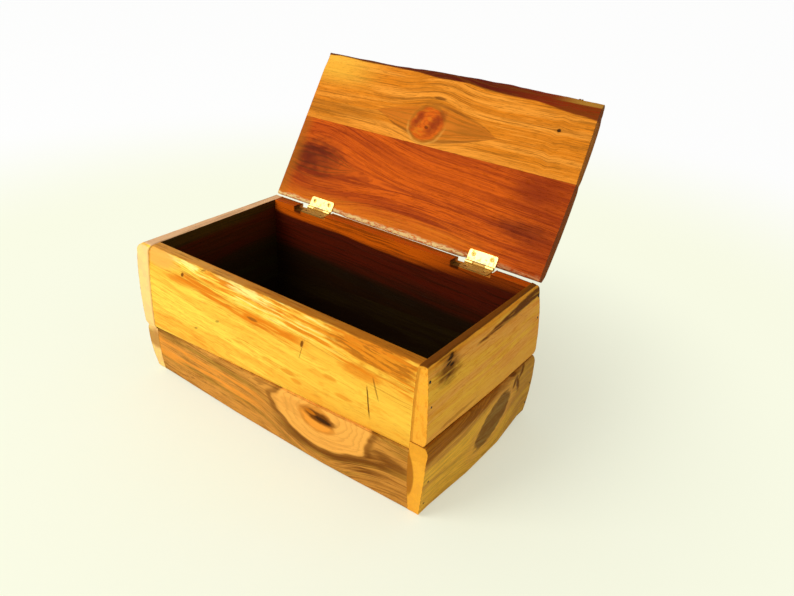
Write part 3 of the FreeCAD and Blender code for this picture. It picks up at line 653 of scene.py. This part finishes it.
def right_upper_finish():
    """Ochre sapwood with a dark streak under its rim and a small slit knot."""
    wood = Wood("right_upper_wood", "right", 21, (90, 80), 3.6, slope=0.02)
    wood.weave("honey", "apricot", "amber", 0.3, 0.45)
    low = (wood.across + wood.bands.swing(20)).rise(78, 62)
    wood.paint(low * 0.5, "apricot")
    wood.paint(wood.across.rise(109, 112) * 0.45, "amber")
    drop = (wood.across - wood.along * 0.046 - 105.9 + wood.ragged.swing(2)).size()
    thick = wood.along.rise(-24, 50) * 2.8 + 0.6
    streak = (drop - thick).rise(0.8, -0.8) * wood.between(-14, 80, 6)
    streak = streak * (wood.streaks(0.36, 0.5, (0.03, 0.5), 12) * 0.4 + 0.6)
    wood.paint(streak, "umber")
    halo = wood.spot(-50, 105, 12, 9, 15, 0.6, 0.7) * (wood.grain.rise(0.42, 0.56) * 0.5 + 0.5)
    wood.paint(halo * 0.9, "umber")
    marks = most(
        wood.spot(-52, 100, 4, 1.6, 30, 0.6, 0.6) * 0.5,
        wood.spot(-47, 111, 3.6, 0.8, 14, 0.5, 0.6),
        wood.spot(-49, 108.4, 3.0, 0.8, 10, 0.5, 0.6),
        wood.spot(-46, 106.2, 2.2, 0.8, 6, 0.5, 0.6),
    )
    wood.paint(marks * 0.85, "soot")
    wood.paint(wood.spot(-40, 66, 20, 1.4) * 0.5, "brown")
    wood.paint(wood.end_on * 0.75, "orange")
    wood.paint(wood.end_on * wood.streaks(0.5, 0.62, (0.2, 0.12, 0.3), 19) * 0.35, "amber")
    wood.paint(wood.end_on * wood.through.rise(2.4, 1.2) * 0.5, "brown")
    wood.paint(wood.across.rise(113, 113.6), "umber")
    return wood.end_wall(marks=marks)


def right_lower_finish():
    """Ochre sapwood, dark along its upper edge, with a broad grey-brown knot."""
    wood = Wood(
        "right_lower_wood", "right", 31, (-60, 60), 3.8, slope=-0.02, swirls=[(9, 31, 10, 26)]
    )
    wood.weave("honey", "tan", "olive", 0.4, 0.5)
    level = wood.across - wood.along * 0.05 + wood.wobble.swing(6)
    wood.paint(level.rise(49, 52) * 0.9, "brown")
    wood.paint(level.rise(46, 52) * wood.grain.rise(0.46, 0.56) * 0.5, "umber")
    wood.paint(wood.along.rise(25, 60) * 0.4, "olive")
    knot = wood.oval(9, 32, 25, 11.8, 27, 0.25)
    core = wood.mix(wood.grain.rise(0.42, 0.6) * 0.8, "knot", "umber")
    lines = (knot * 5 + wood.grain.swing(2)).fraction().rise(0.5, 0.95)
    core = wood.mix(lines * 0.4, core, "umber")
    wood.paint(knot.rise(1.75, 1.2) * 0.4, "apricot")
    wood.paint(knot.rise(1.14, 0.88) * 0.88, core)
    wood.paint(knot.hill(0.8, 0.95, 0.98, 1.12) * 0.3, "umber")
    marks = most(
        wood.spot(38, 55, 6, 1.8, -20),
        wood.spot(46, 44, 2.4, 8, 20, 0.5, 0.6),
        wood.spot(41, 47, 1.8, 5, -35, 0.5, 0.6),
        wood.spot(52, 50, 7, 1.6, 35, 0.5, 0.6),
    )
    wood.paint(marks * 0.9, "umber")
    wood.paint(wood.end_on * 0.8, "orange")
    from_middle = wood.across - 33
    bow = wood.through + from_middle * from_middle * 0.012
    heart = bow.rise(5.6, 4.2) * wood.end_on * wood.across.rise(12, 20)
    wood.paint(heart * 0.85, "brown")
    return wood.end_wall(rim=None, marks=marks)


def sawn_left(wood):
    """The colour of the left boards' sawn ends, paler at the front of the chest."""
    return wood.mix(wood.along.rise(-20, 20), "flax", "apricot")


def left_upper_finish():
    """Pale sapwood; its inner face is painted olive-brown shade."""
    wood = Wood("left_upper_wood", "left", 41, (80, 70), 3.8, slope=0.02)
    wood.weave("gold", "apricot", "honey", 0.3, 0.5)
    wood.paint(wood.end_on * 0.7, sawn_left(wood))
    wood.paint(wood.end_on * wood.through.rise(2.4, 1.2) * 0.5, "tan")
    # The inner face near the rim is painted dark olive-brown: painted shade.
    return wood.end_wall("dusk", rim="sand")


def left_lower_finish():
    """Pale sapwood with a brown heart near its upper edge."""
    wood = Wood("left_lower_wood", "left", 51, (40, 50), 3.8, slope=0.02)
    wood.weave("gold", "apricot", "tan", 0.4, 0.5)
    wood.paint(wood.end_on * 0.5, sawn_left(wood))
    heart = (wood.across - 30 + wood.wobble.swing(12)).size().rise(10, 4)
    wood.paint(heart * (0.85 - wood.end_on * 0.15), "brown")
    # The inner face near the rim is painted dark olive-brown: painted shade.
    return wood.end_wall("dusk", rim=None)


def back_upper_finish():
    """Red-brown heartwood; its inner face is orange-brown along the rim."""
    wood = Wood("back_upper_wood", "back", 61, (60, 55), 4.4, slope=0.05, wander=4, drift=0.03)
    wood.weave("tan", "amber", "brown", 0.5, 0.6)
    # The rim's top is painted dark red-brown, darker towards its outer edge: painted shade under
    # the open lid. A pale tan line runs along its outermost edge.
    rim = wood.across.rise(112.4, 113.2)
    wood.paint(rim, "rust")
    wood.paint(rim * wood.grain.rise(0.46, 0.6) * 0.6, "umber")
    wood.paint(rim * wood.through.rise(5.5, 8) * 0.7, "umber")
    wood.paint(rim * wood.through.rise(9.4, 10.2) * 0.8, "tan")
    # Painted shade: the recesses beside the hinges, near the rim on the inner face, are painted
    # near-black.
    notch_shade = wood.between(-103.5, -95.5, 1).higher(wood.between(61, 69, 1))
    notch_shade = notch_shade * wood.across.rise(107.5, 110) * wood.through.rise(9, 5)
    return wood.end_wall("russet", rim=None, stain_end=88, notch_shade=notch_shade)


def back_lower_finish():
    """Pale sapwood with a long brown heart."""
    wood = Wood("back_lower_wood", "back", 71, (20, 50), 4.4, slope=-0.05, wander=4)
    wood.weave("honey", "tan", "brown", 0.5, 0.6)
    heart = wood.oval(-35, 26, 60, 9, 4) + wood.wobble.swing(0.8)
    wood.paint(heart.rise(1.1, 0.8) * 0.7, "brown")
    return wood.end_wall(rim=None)


def bottom_finish():
    """Brown wood; above its lowest few millimetres it is painted near-black, as shade inside the
    chest.
    """
    wood = Wood("bottom_wood", "bottom", 81, (0, -40), 5.0, slope=0.03, wander=4)
    wood.weave("tan", "brown", "umber", 0.5, 0.6)
    # Painted shade: the board is near-black above its lowest few millimetres.
    wood.paint(wood.through.rise(1.0, 3.0) * 0.97, "soot")
    return wood.end(roughness=0.6, depth=0.2 * MM)


def lid_front_finish():
    """Orange-gold board with a round knot in a long eye, and a dark live edge."""
    wood = Wood(
        "lid_front_wood", "lid", 91, (60, 140), 3.6, slope=0.015, wander=1.0, drift=-0.01,
        swirls=[(-8, 97, 7, 26), (102, 114, 1.2, 4)],
    )
    wood.weave("saffron", "amber", "brown", 0.3, 0.95, 0.8)
    pale = wood.along.rise(-60, -120) * wood.across.rise(105, 125)
    wood.paint(pale * 0.6, "honey")
    low = (wood.across - 90 + wood.bands.swing(20)).size().rise(9, 4)
    wood.paint(low * wood.along.rise(-30, -90) * 0.5, "brown")
    wood.paint(wood.across.rise(85, 79.5) * 0.4, "saffron")
    eye = wood.lens(-4, 98, 62, 15)
    lines = (eye * 3 + (wood.grain - 0.5)).fraction().rise(0.5, 0.9)
    inside = wood.mix(lines * 0.45 + 0.4, "ember", "brown")
    wood.paint(eye.rise(1.25, 0.6) * 0.85, inside)
    shade = eye.rise(1.1, 0.5) * wood.along.rise(8, 26) * wood.grain.rise(0.4, 0.56)
    wood.paint(shade * 0.6, "brown")
    outline = eye.hill(0.82, 0.98, 1.04, 1.2) * wood.between(-68, 60)
    wood.paint(outline * wood.streaks(0.36, 0.56, seed=23) * 0.6, "umber")
    ring = wood.oval(-11, 96, 15.5, 15.5, 0, 0.07) + wood.wobble.swing(0.3)
    turns = (ring * 4 + wood.grain.swing(3)).fraction().rise(0.4, 0.9)
    knot = wood.mix(turns * 0.35, "russet", "mahogany")
    knot = wood.mix(wood.ragged.rise(0.5, 0.66) * 0.5, knot, "amber")
    wood.paint(ring.rise(1.1, 0.86) * 0.85, knot)
    rind = ring.hill(0.88, 1.0, 1.04, 1.2) * wood.wobble.rise(0.3, 0.6)
    wood.paint(rind * 0.7, "brown")
    pale = ring.hill(1.02, 1.1, 1.12, 1.24) * wood.across.rise(100, 88)
    wood.paint(pale * 0.35, "apricot")
    wood.paint(wood.spot(-20.5, 98, 9, 3.4, 72, 0.7, 0.5) * 0.8, "mahogany")
    wood.paint(wood.spot(-3, 98, 11, 4.6, 62, 0.7, 0.5) * 0.8, "mahogany")
    marks = most(wood.spot(-10, 93, 1.6, 1.2) * 0.6, wood.spot(102, 114, 1.5, 1.3, 0, 0.3, 0.1))
    wood.paint(marks * 0.9, "soot")
    wood.paint(wood.spot(-7, 119, 6, 1.2) * 0.8, "umber")
    reach = (wood.along + 137) / 267
    square = reach * reach
    wane = wood.across + reach * 3.5 + square * square * 7.5 + wood.wobble.swing(4)
    live = wood.mix(wood.along.rise(20, 125), "bark", "mahogany")
    live = wood.mix(wood.grain.rise(0.46, 0.6) * 0.6, live, "umber")
    wood.paint(wane.rise(137.0, 138.4), live)
    strip = wood.across.rise(136.6, 137.6) * wood.along.rise(85, 112)
    wood.paint(strip * 0.8, "olive")
    return wood.end_lid(marks)


def lid_rear_finish():
    """Red-brown board with sweeping grain, pale along the hinges: partly worn, partly painted
    highlight.
    """
    wood = Wood(
        "lid_rear_wood", "lid", 101, (20, 90), 4.6, slope=0.02, wander=2, drift=0.05,
        swirls=[(-112, 42, 18, 62)],
    )
    wood.weave("russet", "rust", "mahogany", 0.45, 0.7, 0.4)
    wood.paint(wood.streaks(0.54, 0.62, (0.008, 0.6), 21) * 0.65, "mahogany")
    wood.paint(wood.spot(5, 56, 75, 15, 0, 0.7) * 0.4, "russet")
    wood.paint(wood.along.rise(80, 130) * 0.5, "mahogany")
    wood.paint(wood.spot(-104, 36, 38, 20, 0, 0.7) * 0.45, "mahogany")
    figure = wood.lens(-112, 42, 54, 17)
    vees = (figure * 3.2 + (wood.grain - 0.5)).fraction().rise(0.5, 0.95)
    wood.paint(figure.rise(1.1, 0.7) * vees * 0.7, "umber")
    soft = wood.grain.rise(0.4, 0.58) * 0.35 + 0.65
    wood.paint(wood.spot(-113, 46, 25, 14, 0, 0.7, 0.6) * soft * 0.85, "bark")
    wood.paint(wood.spot(102, 34, 22, 7, 0, 0.8, 0.6) * soft * 0.75, "bark")
    wood.paint(wood.spot(103, 65, 20, 11, 0, 0.8) * 0.8, "mahogany")
    glow = (wood.across + wood.bands.swing(24)).rise(24, 8) * wood.along.rise(100, 30)
    wood.paint(glow * 0.7, "ember")
    wood.paint(glow * wood.grain.rise(0.5, 0.4) * 0.5, "amber")
    wood.paint(wood.along.rise(-122, -136) * 0.6, "brown")
    # The pale patches on the hinge arris are partly real wear, which also sinks the bump, and
    # partly painted highlight on its rounded edge.
    arris = (wood.across + wood.ragged.swing(4)).rise(7, 4) * wood.through.rise(3.2, 1.6)
    arris = arris * (wood.along.rise(110, 40) * 0.8 + 0.2)
    wear_and_highlight_patches = wood.noise(wood.place, (0.3, 0.8), 9).rise(0.26, 0.56)
    worn = arris * wear_and_highlight_patches
    wood.paint(worn * 0.95, "sand")
    wood.paint(arris * wear_and_highlight_patches.rise(0.6, 1.0) * 0.4, "cream")
    return wood.end_lid(worn * 0.3)


# ---------------------------------------------------------------- metal


def metal_finish(name, shine, tarnish, roughness):
    """Rolled metal with faint scratches and a little tarnish."""
    finish = Finish(name)
    place = finish.add("ShaderNodeTexCoord", None, (), "Object")
    scratches = finish.noise(place, (90, 1400), 5)
    stains = finish.noise(place, (300, 300), 6, 3.0).rise(0.5, 0.7)
    base = finish.mix(stains * 0.6, shine, tarnish)
    rough = roughness + stains * 0.16 + scratches.swing(0.1)
    return finish.close(base, rough, scratches, 0.001 * MM, metallic=1.0, specular=0.5)


# ---------------------------------------------------------------- modelling


def only(piece):
    """Deselect everything, then select this piece and make it active."""
    bpy.ops.object.select_all(action="DESELECT")
    piece.select_set(True)
    bpy.context.view_layer.objects.active = piece


def copy_node(node, name):
    """A copy of a CAD node with its own mesh, its loose triangles merged."""
    only(frame["nodes"][node])
    bpy.ops.object.duplicate()
    piece = bpy.context.active_object
    piece.name = name
    piece.data.name = name
    piece.parent = None
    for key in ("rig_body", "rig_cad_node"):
        del piece[key]
    bpy.ops.object.mode_set(mode="EDIT")
    bpy.ops.mesh.select_all(action="SELECT")
    bpy.ops.mesh.remove_doubles(threshold=SAME_POINT)
    bpy.ops.object.mode_set(mode="OBJECT")
    return piece


def apply_modifier(piece, kind, **settings):
    """Add a modifier, set it and apply it."""
    modifier = piece.modifiers.new(kind.title(), kind)
    for name, value in settings.items():
        setattr(modifier, name, value)
    bpy.ops.object.modifier_apply(modifier=modifier.name)


def carve(piece, side, name, depth, length, width):
    """Wear a board down, never outwards, by a cloud pattern stretched along its grain."""
    pattern = bpy.data.textures.new(name, "CLOUDS")
    pattern.noise_scale = 1.0
    pattern.noise_depth = 2
    origin, along, across, through = SIDES[side]
    bpy.ops.object.empty_add()
    holder = bpy.context.active_object
    holder.matrix_world = Matrix.Translation(origin) @ (
        Matrix((along * length, across * width, through * width)).transposed().to_4x4()
    )
    only(piece)
    apply_modifier(
        piece, "DISPLACE", texture=pattern, texture_coords="OBJECT",
        texture_coords_object=holder, strength=depth, mid_level=1.0, vertex_group="worn",
    )
    bpy.data.objects.remove(holder)


def weigh(piece, side, wear):
    """Give a board a vertex group that says where it is worn, from 0 to 1.

    wear is given each vertex's millimetres across and through the board, then how far its
    normal points along the board and out of the chest.
    """
    origin, along, across, through = SIDES[side]
    group = piece.vertex_groups.new(name="worn")
    levels = {}
    for vertex in piece.data.vertices:
        place = (vertex.co - origin) / MM
        end_on = abs(vertex.normal.dot(along))
        amount = wear(place.dot(across), place.dot(through), end_on, vertex.normal.dot(through))
        levels.setdefault(round(min(max(amount, 0), 1) * WEAR_LEVELS), []).append(vertex.index)
    for level, indices in levels.items():
        group.add(indices, level / WEAR_LEVELS, "REPLACE")


def ramp(value, low, high):
    """0 at low and 1 at high, straight between."""
    return min(max((value - low) / (high - low), 0), 1)


def worn_wall(across, through, end_on, outward):
    """Front and back boards wear on their outer face, most along the rim, not in the joint."""
    return ramp(outward, 0.1, 0.45) * ramp(end_on, 0.6, 0.3) * (0.2 + 0.6 * ramp(across, 92, 108))


def worn_end(across, through, end_on, outward):
    """End boards wear on their outer face and on their sawn ends."""
    outside = ramp(max(outward, end_on), 0.1, 0.45)
    return outside * ramp(through, 0.5, 3) * (0.2 + 0.4 * ramp(across, 96, 110))


def worn_lid(across, through, end_on, outward):
    """The lid wears most along its live edge; its joint and its hinge edge stay tight."""
    joint = ramp(abs(across - LID_JOINT), 0.5, 3)
    return joint * ramp(across, 3, 9) * (0.12 + 0.6 * ramp(across, 124, 132))


def facet(piece, fineness, shape):
    """Divide a board into even facets that lie on its shape, and keep its edges crisp."""
    places = [vertex.co for vertex in piece.data.vertices]
    spans = [max(co[axis] for co in places) - min(co[axis] for co in places) for axis in range(3)]
    steps = max(spans) / fineness
    depth = math.ceil(math.log2(steps / LARGEST_SCALE))
    apply_modifier(
        piece, "REMESH", mode="SHARP", octree_depth=depth, scale=steps / 2 ** depth,
        use_remove_disconnected=False,
    )
    apply_modifier(piece, "SHRINKWRAP", target=shape, wrap_method="NEAREST_SURFACEPOINT")


def bulge_lip(piece):
    """Let the rear edge of the upright lid stand a little proud between the hinges."""
    sizes = bpy.context.scene.chest_planks
    lip_end = sizes.lip_end / MM
    group = piece.vertex_groups.new(name="lip")
    for vertex in piece.data.vertices:
        along = abs(vertex.co.x / MM)
        across = (vertex.co.z - HINGE_AXIS.z) / MM
        weight = ramp(along, lip_end, lip_end - LIP_FADE) * ramp(across, 5, 1)
        if weight > 0:
            group.add([vertex.index], weight, "REPLACE")
    apply_modifier(
        piece, "DISPLACE", direction="Z", strength=-sizes.lip, mid_level=0.0, vertex_group="lip"
    )
    piece.vertex_groups.clear()


def mark_edges(piece):
    """Note which vertices lie on a crisp edge, for the dirt and wear along it."""
    only(piece)
    bpy.ops.object.mode_set(mode="EDIT")
    bpy.ops.mesh.select_mode(type="EDGE")
    bpy.ops.mesh.select_all(action="DESELECT")
    bpy.ops.mesh.edges_select_sharp(sharpness=CRISP_EDGE)
    bpy.ops.object.mode_set(mode="OBJECT")
    edge = piece.data.attributes.new("edge", "FLOAT", "POINT")
    edge.data.foreach_set("value", [float(vertex.select) for vertex in piece.data.vertices])


def make_plank(node, finish, wear):
    """Carve a board from its CAD node and give it its wood."""
    sizes = bpy.context.scene.chest_planks
    side = node.split("_")[0]
    name = node.replace("board", "plank").replace("end", "end_plank")
    piece = copy_node(node, name)
    shape = copy_node(node, f"{name}_shape")
    upright = lid_upright() if side == "lid" else Matrix()
    for mesh in (piece.data, shape.data):
        mesh.transform(upright)
    only(piece)
    facet(piece, sizes.fineness, shape)
    if node == "lid_rear_board":
        bulge_lip(piece)
    piece.data.transform(upright.inverted())
    bpy.data.objects.remove(shape)
    mark_edges(piece)
    weigh(piece, side, wear)
    ripple_width = sizes.ripple_length / 3
    carve(piece, side, f"{name}_ripple", sizes.ripple, sizes.ripple_length, ripple_width)
    carve(piece, side, f"{name}_wear", sizes.wear, sizes.wear_length, sizes.wear_width)
    piece.vertex_groups.clear()
    only(piece)
    stand_in(piece, node, finish, BOARD_SMOOTHING)


def stand_in(piece, node, finish, smoothing):
    """Finish the active piece, which stands for a CAD node and moves with its body."""
    bpy.ops.object.shade_smooth_by_angle(angle=smoothing)
    coat(piece, finish)
    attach(piece, body_of(node))
    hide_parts(node)


def coat(piece, finish):
    """Give a piece or a CAD node one material."""
    piece.data.materials.clear()
    piece.data.materials.append(finish)


def body_of(node):
    """The body that a CAD node belongs to."""
    bodies = frame["record"]["behaviour"]["bodies"]
    return next(body for body, nodes in bodies.items() if node in nodes)


def lid_upright():
    """The turn about the hinge that stands the open lid upright."""
    there = Matrix.Translation(HINGE_AXIS)
    return there @ Matrix.Rotation(LID_LEAN, 4, "X") @ there.inverted()


def fastener_tops(node, up):
    """Where the heads of a CAD node's screws or nails end, seen along their way out."""
    groups = []
    for vertex in frame["nodes"][node].data.vertices:
        height = vertex.co.dot(up)
        beside = vertex.co - up * height
        group = next((g for g in groups if (g[0][0] - beside).length < FASTENER_GAP), None)
        if group is None:
            groups.append([(beside, height)])
        else:
            group.append((beside, height))
    tops = []
    for group in groups:
        top = max(height for beside, height in group)
        rim = [beside for beside, height in group if height > top - SAME_HEIGHT]
        low = Vector([min(point[axis] for point in rim) for axis in range(3)])
        high = Vector([max(point[axis] for point in rim) for axis in range(3)])
        tops.append((low + high) / 2 + up * top)
    return tops


def turned_piece(name, profile, flats):
    """A piece turned about Z through its profile of (radius, height) points, top last."""
    bpy.ops.object.select_all(action="DESELECT")
    radius, height = profile[0]
    bpy.ops.mesh.primitive_circle_add(
        vertices=flats, radius=radius, location=(0, 0, height), fill_type="NGON"
    )
    piece = bpy.context.active_object
    piece.name = name
    bpy.ops.object.transform_apply(location=True, rotation=True, scale=True)
    bpy.ops.object.mode_set(mode="EDIT")
    for next_radius, next_height in profile[1:]:
        bpy.ops.mesh.extrude_region_move(
            TRANSFORM_OT_translate={"value": (0, 0, next_height - height)}
        )
        share = next_radius / radius
        bpy.ops.transform.resize(value=(share, share, 1), center_override=(0, 0, next_height))
        radius, height = next_radius, next_height
    bpy.ops.mesh.select_all(action="SELECT")
    bpy.ops.mesh.normals_make_consistent(inside=False)
    bpy.ops.object.mode_set(mode="OBJECT")
    return piece


def domed(radius, base, rise):
    """The last stretch of a profile: a shallow dome that ends in a small flat."""
    steps = ((1, 0), (0.8, 0.4), (0.4, 0.85), (0.1, 1))
    return [(radius * out, base + rise * up) for out, up in steps]


def model_screw():
    """One countersunk cross-head screw, its rim at the origin and its head up."""
    sizes = bpy.context.scene.chest_screws
    head, shank = sizes.head_radius, sizes.shank_radius
    profile = [
        (shank * 0.3, -sizes.head_height - sizes.shank_length),
        (shank, -sizes.head_height - sizes.shank_length * 0.7),
        (shank, -sizes.head_height),
        (head, -SCREW_RIM),
        *domed(head, 0, sizes.dome),
    ]
    screw = turned_piece("screw", profile, SCREW_FLATS)
    long, wide = sizes.cross_length, sizes.cross_width
    for arms in ((long, wide), (wide, long)):
        bpy.ops.mesh.primitive_cube_add(size=1)
        cutter = bpy.context.active_object
        cutter.scale = (*arms, 2 * sizes.cross_depth)
        cutter.location = (0, 0, sizes.dome)
        bpy.ops.object.transform_apply(location=True, rotation=True, scale=True)
        only(screw)
        apply_modifier(screw, "BOOLEAN", object=cutter, operation="DIFFERENCE")
        bpy.data.objects.remove(cutter)
    return screw


def model_nail():
    """One nail with a domed head, its rim at the origin and its head up."""
    sizes = bpy.context.scene.chest_nails
    profile = [
        (sizes.shank_radius, -sizes.head_height - sizes.shank_length),
        (sizes.shank_radius, -sizes.head_height),
        (sizes.head_radius, -sizes.head_height * 0.6),
        *domed(sizes.head_radius, 0, sizes.dome),
    ]
    return turned_piece("nail", profile, NAIL_FLATS)


def set_fasteners(model, node, up, sink, finish):
    """Copy a screw or nail to every head of a CAD node, each turned a little further."""
    bpy.ops.object.select_all(action="DESELECT")
    copies = []
    stand = up.to_track_quat("Z", "Y").to_matrix().to_4x4()
    for number, top in enumerate(fastener_tops(node, up)):
        copy = model.copy()
        copy.data = model.data.copy()
        bpy.context.collection.objects.link(copy)
        turn = Matrix.Rotation(math.radians(FIRST_TURN + NEXT_TURN * number), 4, "Z")
        copy.data.transform(Matrix.Translation(top - up * sink) @ stand @ turn)
        copies.append(copy)
    for copy in copies:
        copy.select_set(True)
    bpy.context.view_layer.objects.active = copies[0]
    bpy.ops.object.join()
    piece = bpy.context.active_object
    piece.name = node.replace("screws", "screw_set").replace("nails", "nail_set")
    stand_in(piece, node, finish, METAL_SMOOTHING)


# ---------------------------------------------------------------- operators


class CHEST_OT_walls(bpy.types.Operator):
    """Carve the eight wall boards"""

    bl_idname = "chest.walls"
    bl_label = "Walls"

    def execute(self, context):
        make_plank("front_upper_board", front_upper_finish(), worn_wall)
        make_plank("front_lower_board", front_lower_finish(), worn_wall)
        make_plank("back_upper_board", back_upper_finish(), worn_wall)
        make_plank("back_lower_board", back_lower_finish(), worn_wall)
        make_plank("left_upper_end", left_upper_finish(), worn_end)
        make_plank("left_lower_end", left_lower_finish(), worn_end)
        make_plank("right_upper_end", right_upper_finish(), worn_end)
        make_plank("right_lower_end", right_lower_finish(), worn_end)
        return {"FINISHED"}


class CHEST_OT_bottom(bpy.types.Operator):
    """Give the bottom board its wood"""

    bl_idname = "chest.bottom"
    bl_label = "Bottom"

    def execute(self, context):
        coat(frame["nodes"]["bottom_board"], bottom_finish())
        return {"FINISHED"}


class CHEST_OT_lid(bpy.types.Operator):
    """Carve the two lid boards"""

    bl_idname = "chest.lid"
    bl_label = "Lid"

    def execute(self, context):
        make_plank("lid_rear_board", lid_rear_finish(), worn_lid)
        make_plank("lid_front_board", lid_front_finish(), worn_lid)
        return {"FINISHED"}


class CHEST_OT_hinges(bpy.types.Operator):
    """Give the hinge leaves and pins their brass"""

    bl_idname = "chest.hinges"
    bl_label = "Hinges"

    def execute(self, context):
        bright = metal_finish("bright_brass", "brass", "dull_brass", 0.42)
        # The pins and wall leaves get a darker brass: painted shade, as they lie in the shadow of
        # the lid and the rim.
        shade_brass = metal_finish("painted_shade_brass", "dull_brass", "brown", 0.55)
        for side in ("left", "right"):
            coat(frame["nodes"][f"{side}_hinge_lid_leaf"], bright)
            coat(frame["nodes"][f"{side}_hinge_pin"], shade_brass)
            coat(frame["nodes"][f"{side}_hinge_wall_leaf"], shade_brass)
        return {"FINISHED"}


class CHEST_OT_fasteners(bpy.types.Operator):
    """Model the cross-head screws of the hinges and the nails of the corners"""

    bl_idname = "chest.fasteners"
    bl_label = "Fasteners"

    def execute(self, context):
        screw = model_screw()
        nail = model_nail()
        screw_metal = metal_finish("screw_metal", "dull_brass", "umber", 0.35)
        nail_metal = metal_finish("nail_metal", "steel", "soot", 0.5)
        screw_sink = context.scene.chest_screws.dome * 0.6
        for side, outward in (("left", -RIGHT), ("right", RIGHT)):
            set_fasteners(screw, f"{side}_wall_screws", UP, screw_sink, screw_metal)
            set_fasteners(screw, f"{side}_lid_screws", -LID_OUT, screw_sink, screw_metal)
            set_fasteners(nail, f"{side}_end_nails", outward, NAIL_SINK, nail_metal)
        for model in (screw, nail):
            bpy.data.objects.remove(model)
        return {"FINISHED"}


class CHEST_OT_stage(bpy.types.Operator):
    """Set the floor, lamp, background and camera"""

    bl_idname = "chest.stage"
    bl_label = "Stage"

    def execute(self, context):
        make_floor()
        make_lamp()
        make_background()
        make_camera()
        context.scene.view_settings.view_transform = "Standard"
        return {"FINISHED"}


def make_floor():
    """A wide floor, cream near the chest and white far from it."""
    settings = bpy.context.scene.chest_stage
    bpy.ops.object.select_all(action="DESELECT")
    bpy.ops.mesh.primitive_circle_add(vertices=96, radius=FLOOR_RADIUS, fill_type="NGON")
    floor = bpy.context.active_object
    floor.name = "studio_floor"
    finish = Finish("studio_floor")
    place = finish.add("ShaderNodeTexCoord", None, (), "Object")
    distance = finish.add("ShaderNodeVectorMath", {"operation": "LENGTH"}, (place,), "Value")
    near = (*settings.floor, 1)
    mottle = finish.noise(place, (9, 9), 2, 3.0).rise(0.45, 0.75)
    base = finish.mix(mottle * 0.15, near, WHITE)
    matte = finish.add("ShaderNodeBsdfDiffuse", None, {"Color": base})
    plain = finish.mix(distance.rise(0.45, 0.9), near, WHITE)
    plain = finish.add("ShaderNodeEmission", None, {"Color": plain, "Strength": 1.0})
    seen = finish.add("ShaderNodeLightPath", None, (), "Is Camera Ray")
    share = (distance.rise(0.1, 0.4) * 0.5 + 0.46) * seen
    shader = finish.add("ShaderNodeMixShader", None, {0: share, 1: matte, 2: plain})
    finish.add("ShaderNodeOutputMaterial", None, {"Surface": shader})
    coat(floor, finish.material)


def make_lamp():
    """A large soft lamp high on the front left."""
    settings = bpy.context.scene.chest_stage
    bpy.ops.object.light_add(type="AREA", location=LAMP_PLACE)
    lamp = bpy.context.active_object
    lamp.name = "key_lamp"
    lamp.data.size = settings.key_size
    lamp.data.energy = settings.key
    lamp.rotation_euler = (LAMP_AIM - LAMP_PLACE).to_track_quat("-Z", "Y").to_euler()


def make_background():
    """Soft light from all round, seen as white."""
    world = bpy.data.worlds.new("studio")
    bpy.context.scene.world = world
    world.use_nodes = True
    nodes = Nodes(world.node_tree)
    camera_ray = nodes.add("ShaderNodeLightPath", None, (), "Is Camera Ray")
    glossy_ray = nodes.add("ShaderNodeLightPath", None, (), "Is Glossy Ray")
    fill = bpy.context.scene.chest_stage.fill
    inputs = {"Value": camera_ray.higher(glossy_ray), "To Min": fill, "To Max": 1.0}
    strength = nodes.add("ShaderNodeMapRange", None, inputs)
    light = nodes.add("ShaderNodeBackground", None, {"Color": WHITE, "Strength": strength})
    nodes.add("ShaderNodeOutputWorld", None, {"Surface": light})


def make_camera():
    """A camera above the right front corner, looking down into the chest."""
    azimuth, elevation, roll = (math.radians(angle) for angle in CAMERA_ANGLES)
    back = Vector((
        math.sin(azimuth) * math.cos(elevation),
        -math.cos(azimuth) * math.cos(elevation),
        math.sin(elevation),
    ))
    right = UP.cross(back).normalized()
    up = back.cross(right)
    rolled_right = math.cos(roll) * right + math.sin(roll) * up
    rolled_up = math.cos(roll) * up - math.sin(roll) * right
    bpy.ops.object.camera_add()
    camera = bpy.context.active_object
    turned = Matrix((rolled_right, rolled_up, back)).transposed().to_4x4()
    turned.translation = CAMERA_PLACE
    camera.matrix_world = turned
    camera.data.sensor_width = SENSOR_WIDTH
    camera.data.lens = FOCAL_LENGTH / IMAGE_WIDTH * SENSOR_WIDTH
    bpy.context.scene.camera = camera


class CHEST_PT_panel(bpy.types.Panel):
    """Buttons for every piece of the chest"""

    bl_idname = "CHEST_PT_panel"
    bl_label = "Plank Chest"
    bl_space_type = "VIEW_3D"
    bl_region_type = "UI"
    bl_category = "Chest"

    def draw(self, context):
        layout = self.layout
        for operator in OPERATORS:
            layout.operator(operator.bl_idname)
        for name, group in SETTINGS.items():
            box = layout.box()
            box.label(text=group.__doc__)
            for setting in group.__annotations__:
                box.prop(getattr(context.scene, name), setting)


OPERATORS = (
    CHEST_OT_walls,
    CHEST_OT_bottom,
    CHEST_OT_lid,
    CHEST_OT_hinges,
    CHEST_OT_fasteners,
    CHEST_OT_stage,
)


def register():
    for item in (*SETTINGS.values(), *OPERATORS, CHEST_PT_panel):
        bpy.utils.register_class(item)
    for name, group in SETTINGS.items():
        setattr(bpy.types.Scene, name, bpy.props.PointerProperty(type=group))


def unregister():
    for name in SETTINGS:
        delattr(bpy.types.Scene, name)
    for item in reversed((*SETTINGS.values(), *OPERATORS, CHEST_PT_panel)):
        bpy.utils.unregister_class(item)


def main():
    """Build the chest and its stage."""
    register()
    bpy.ops.chest.walls()
    bpy.ops.chest.bottom()
    bpy.ops.chest.lid()
    bpy.ops.chest.hinges()
    bpy.ops.chest.fasteners()
    bpy.ops.chest.stage()
    bpy.context.view_layer.update()


if __name__ == "__main__":
    main()
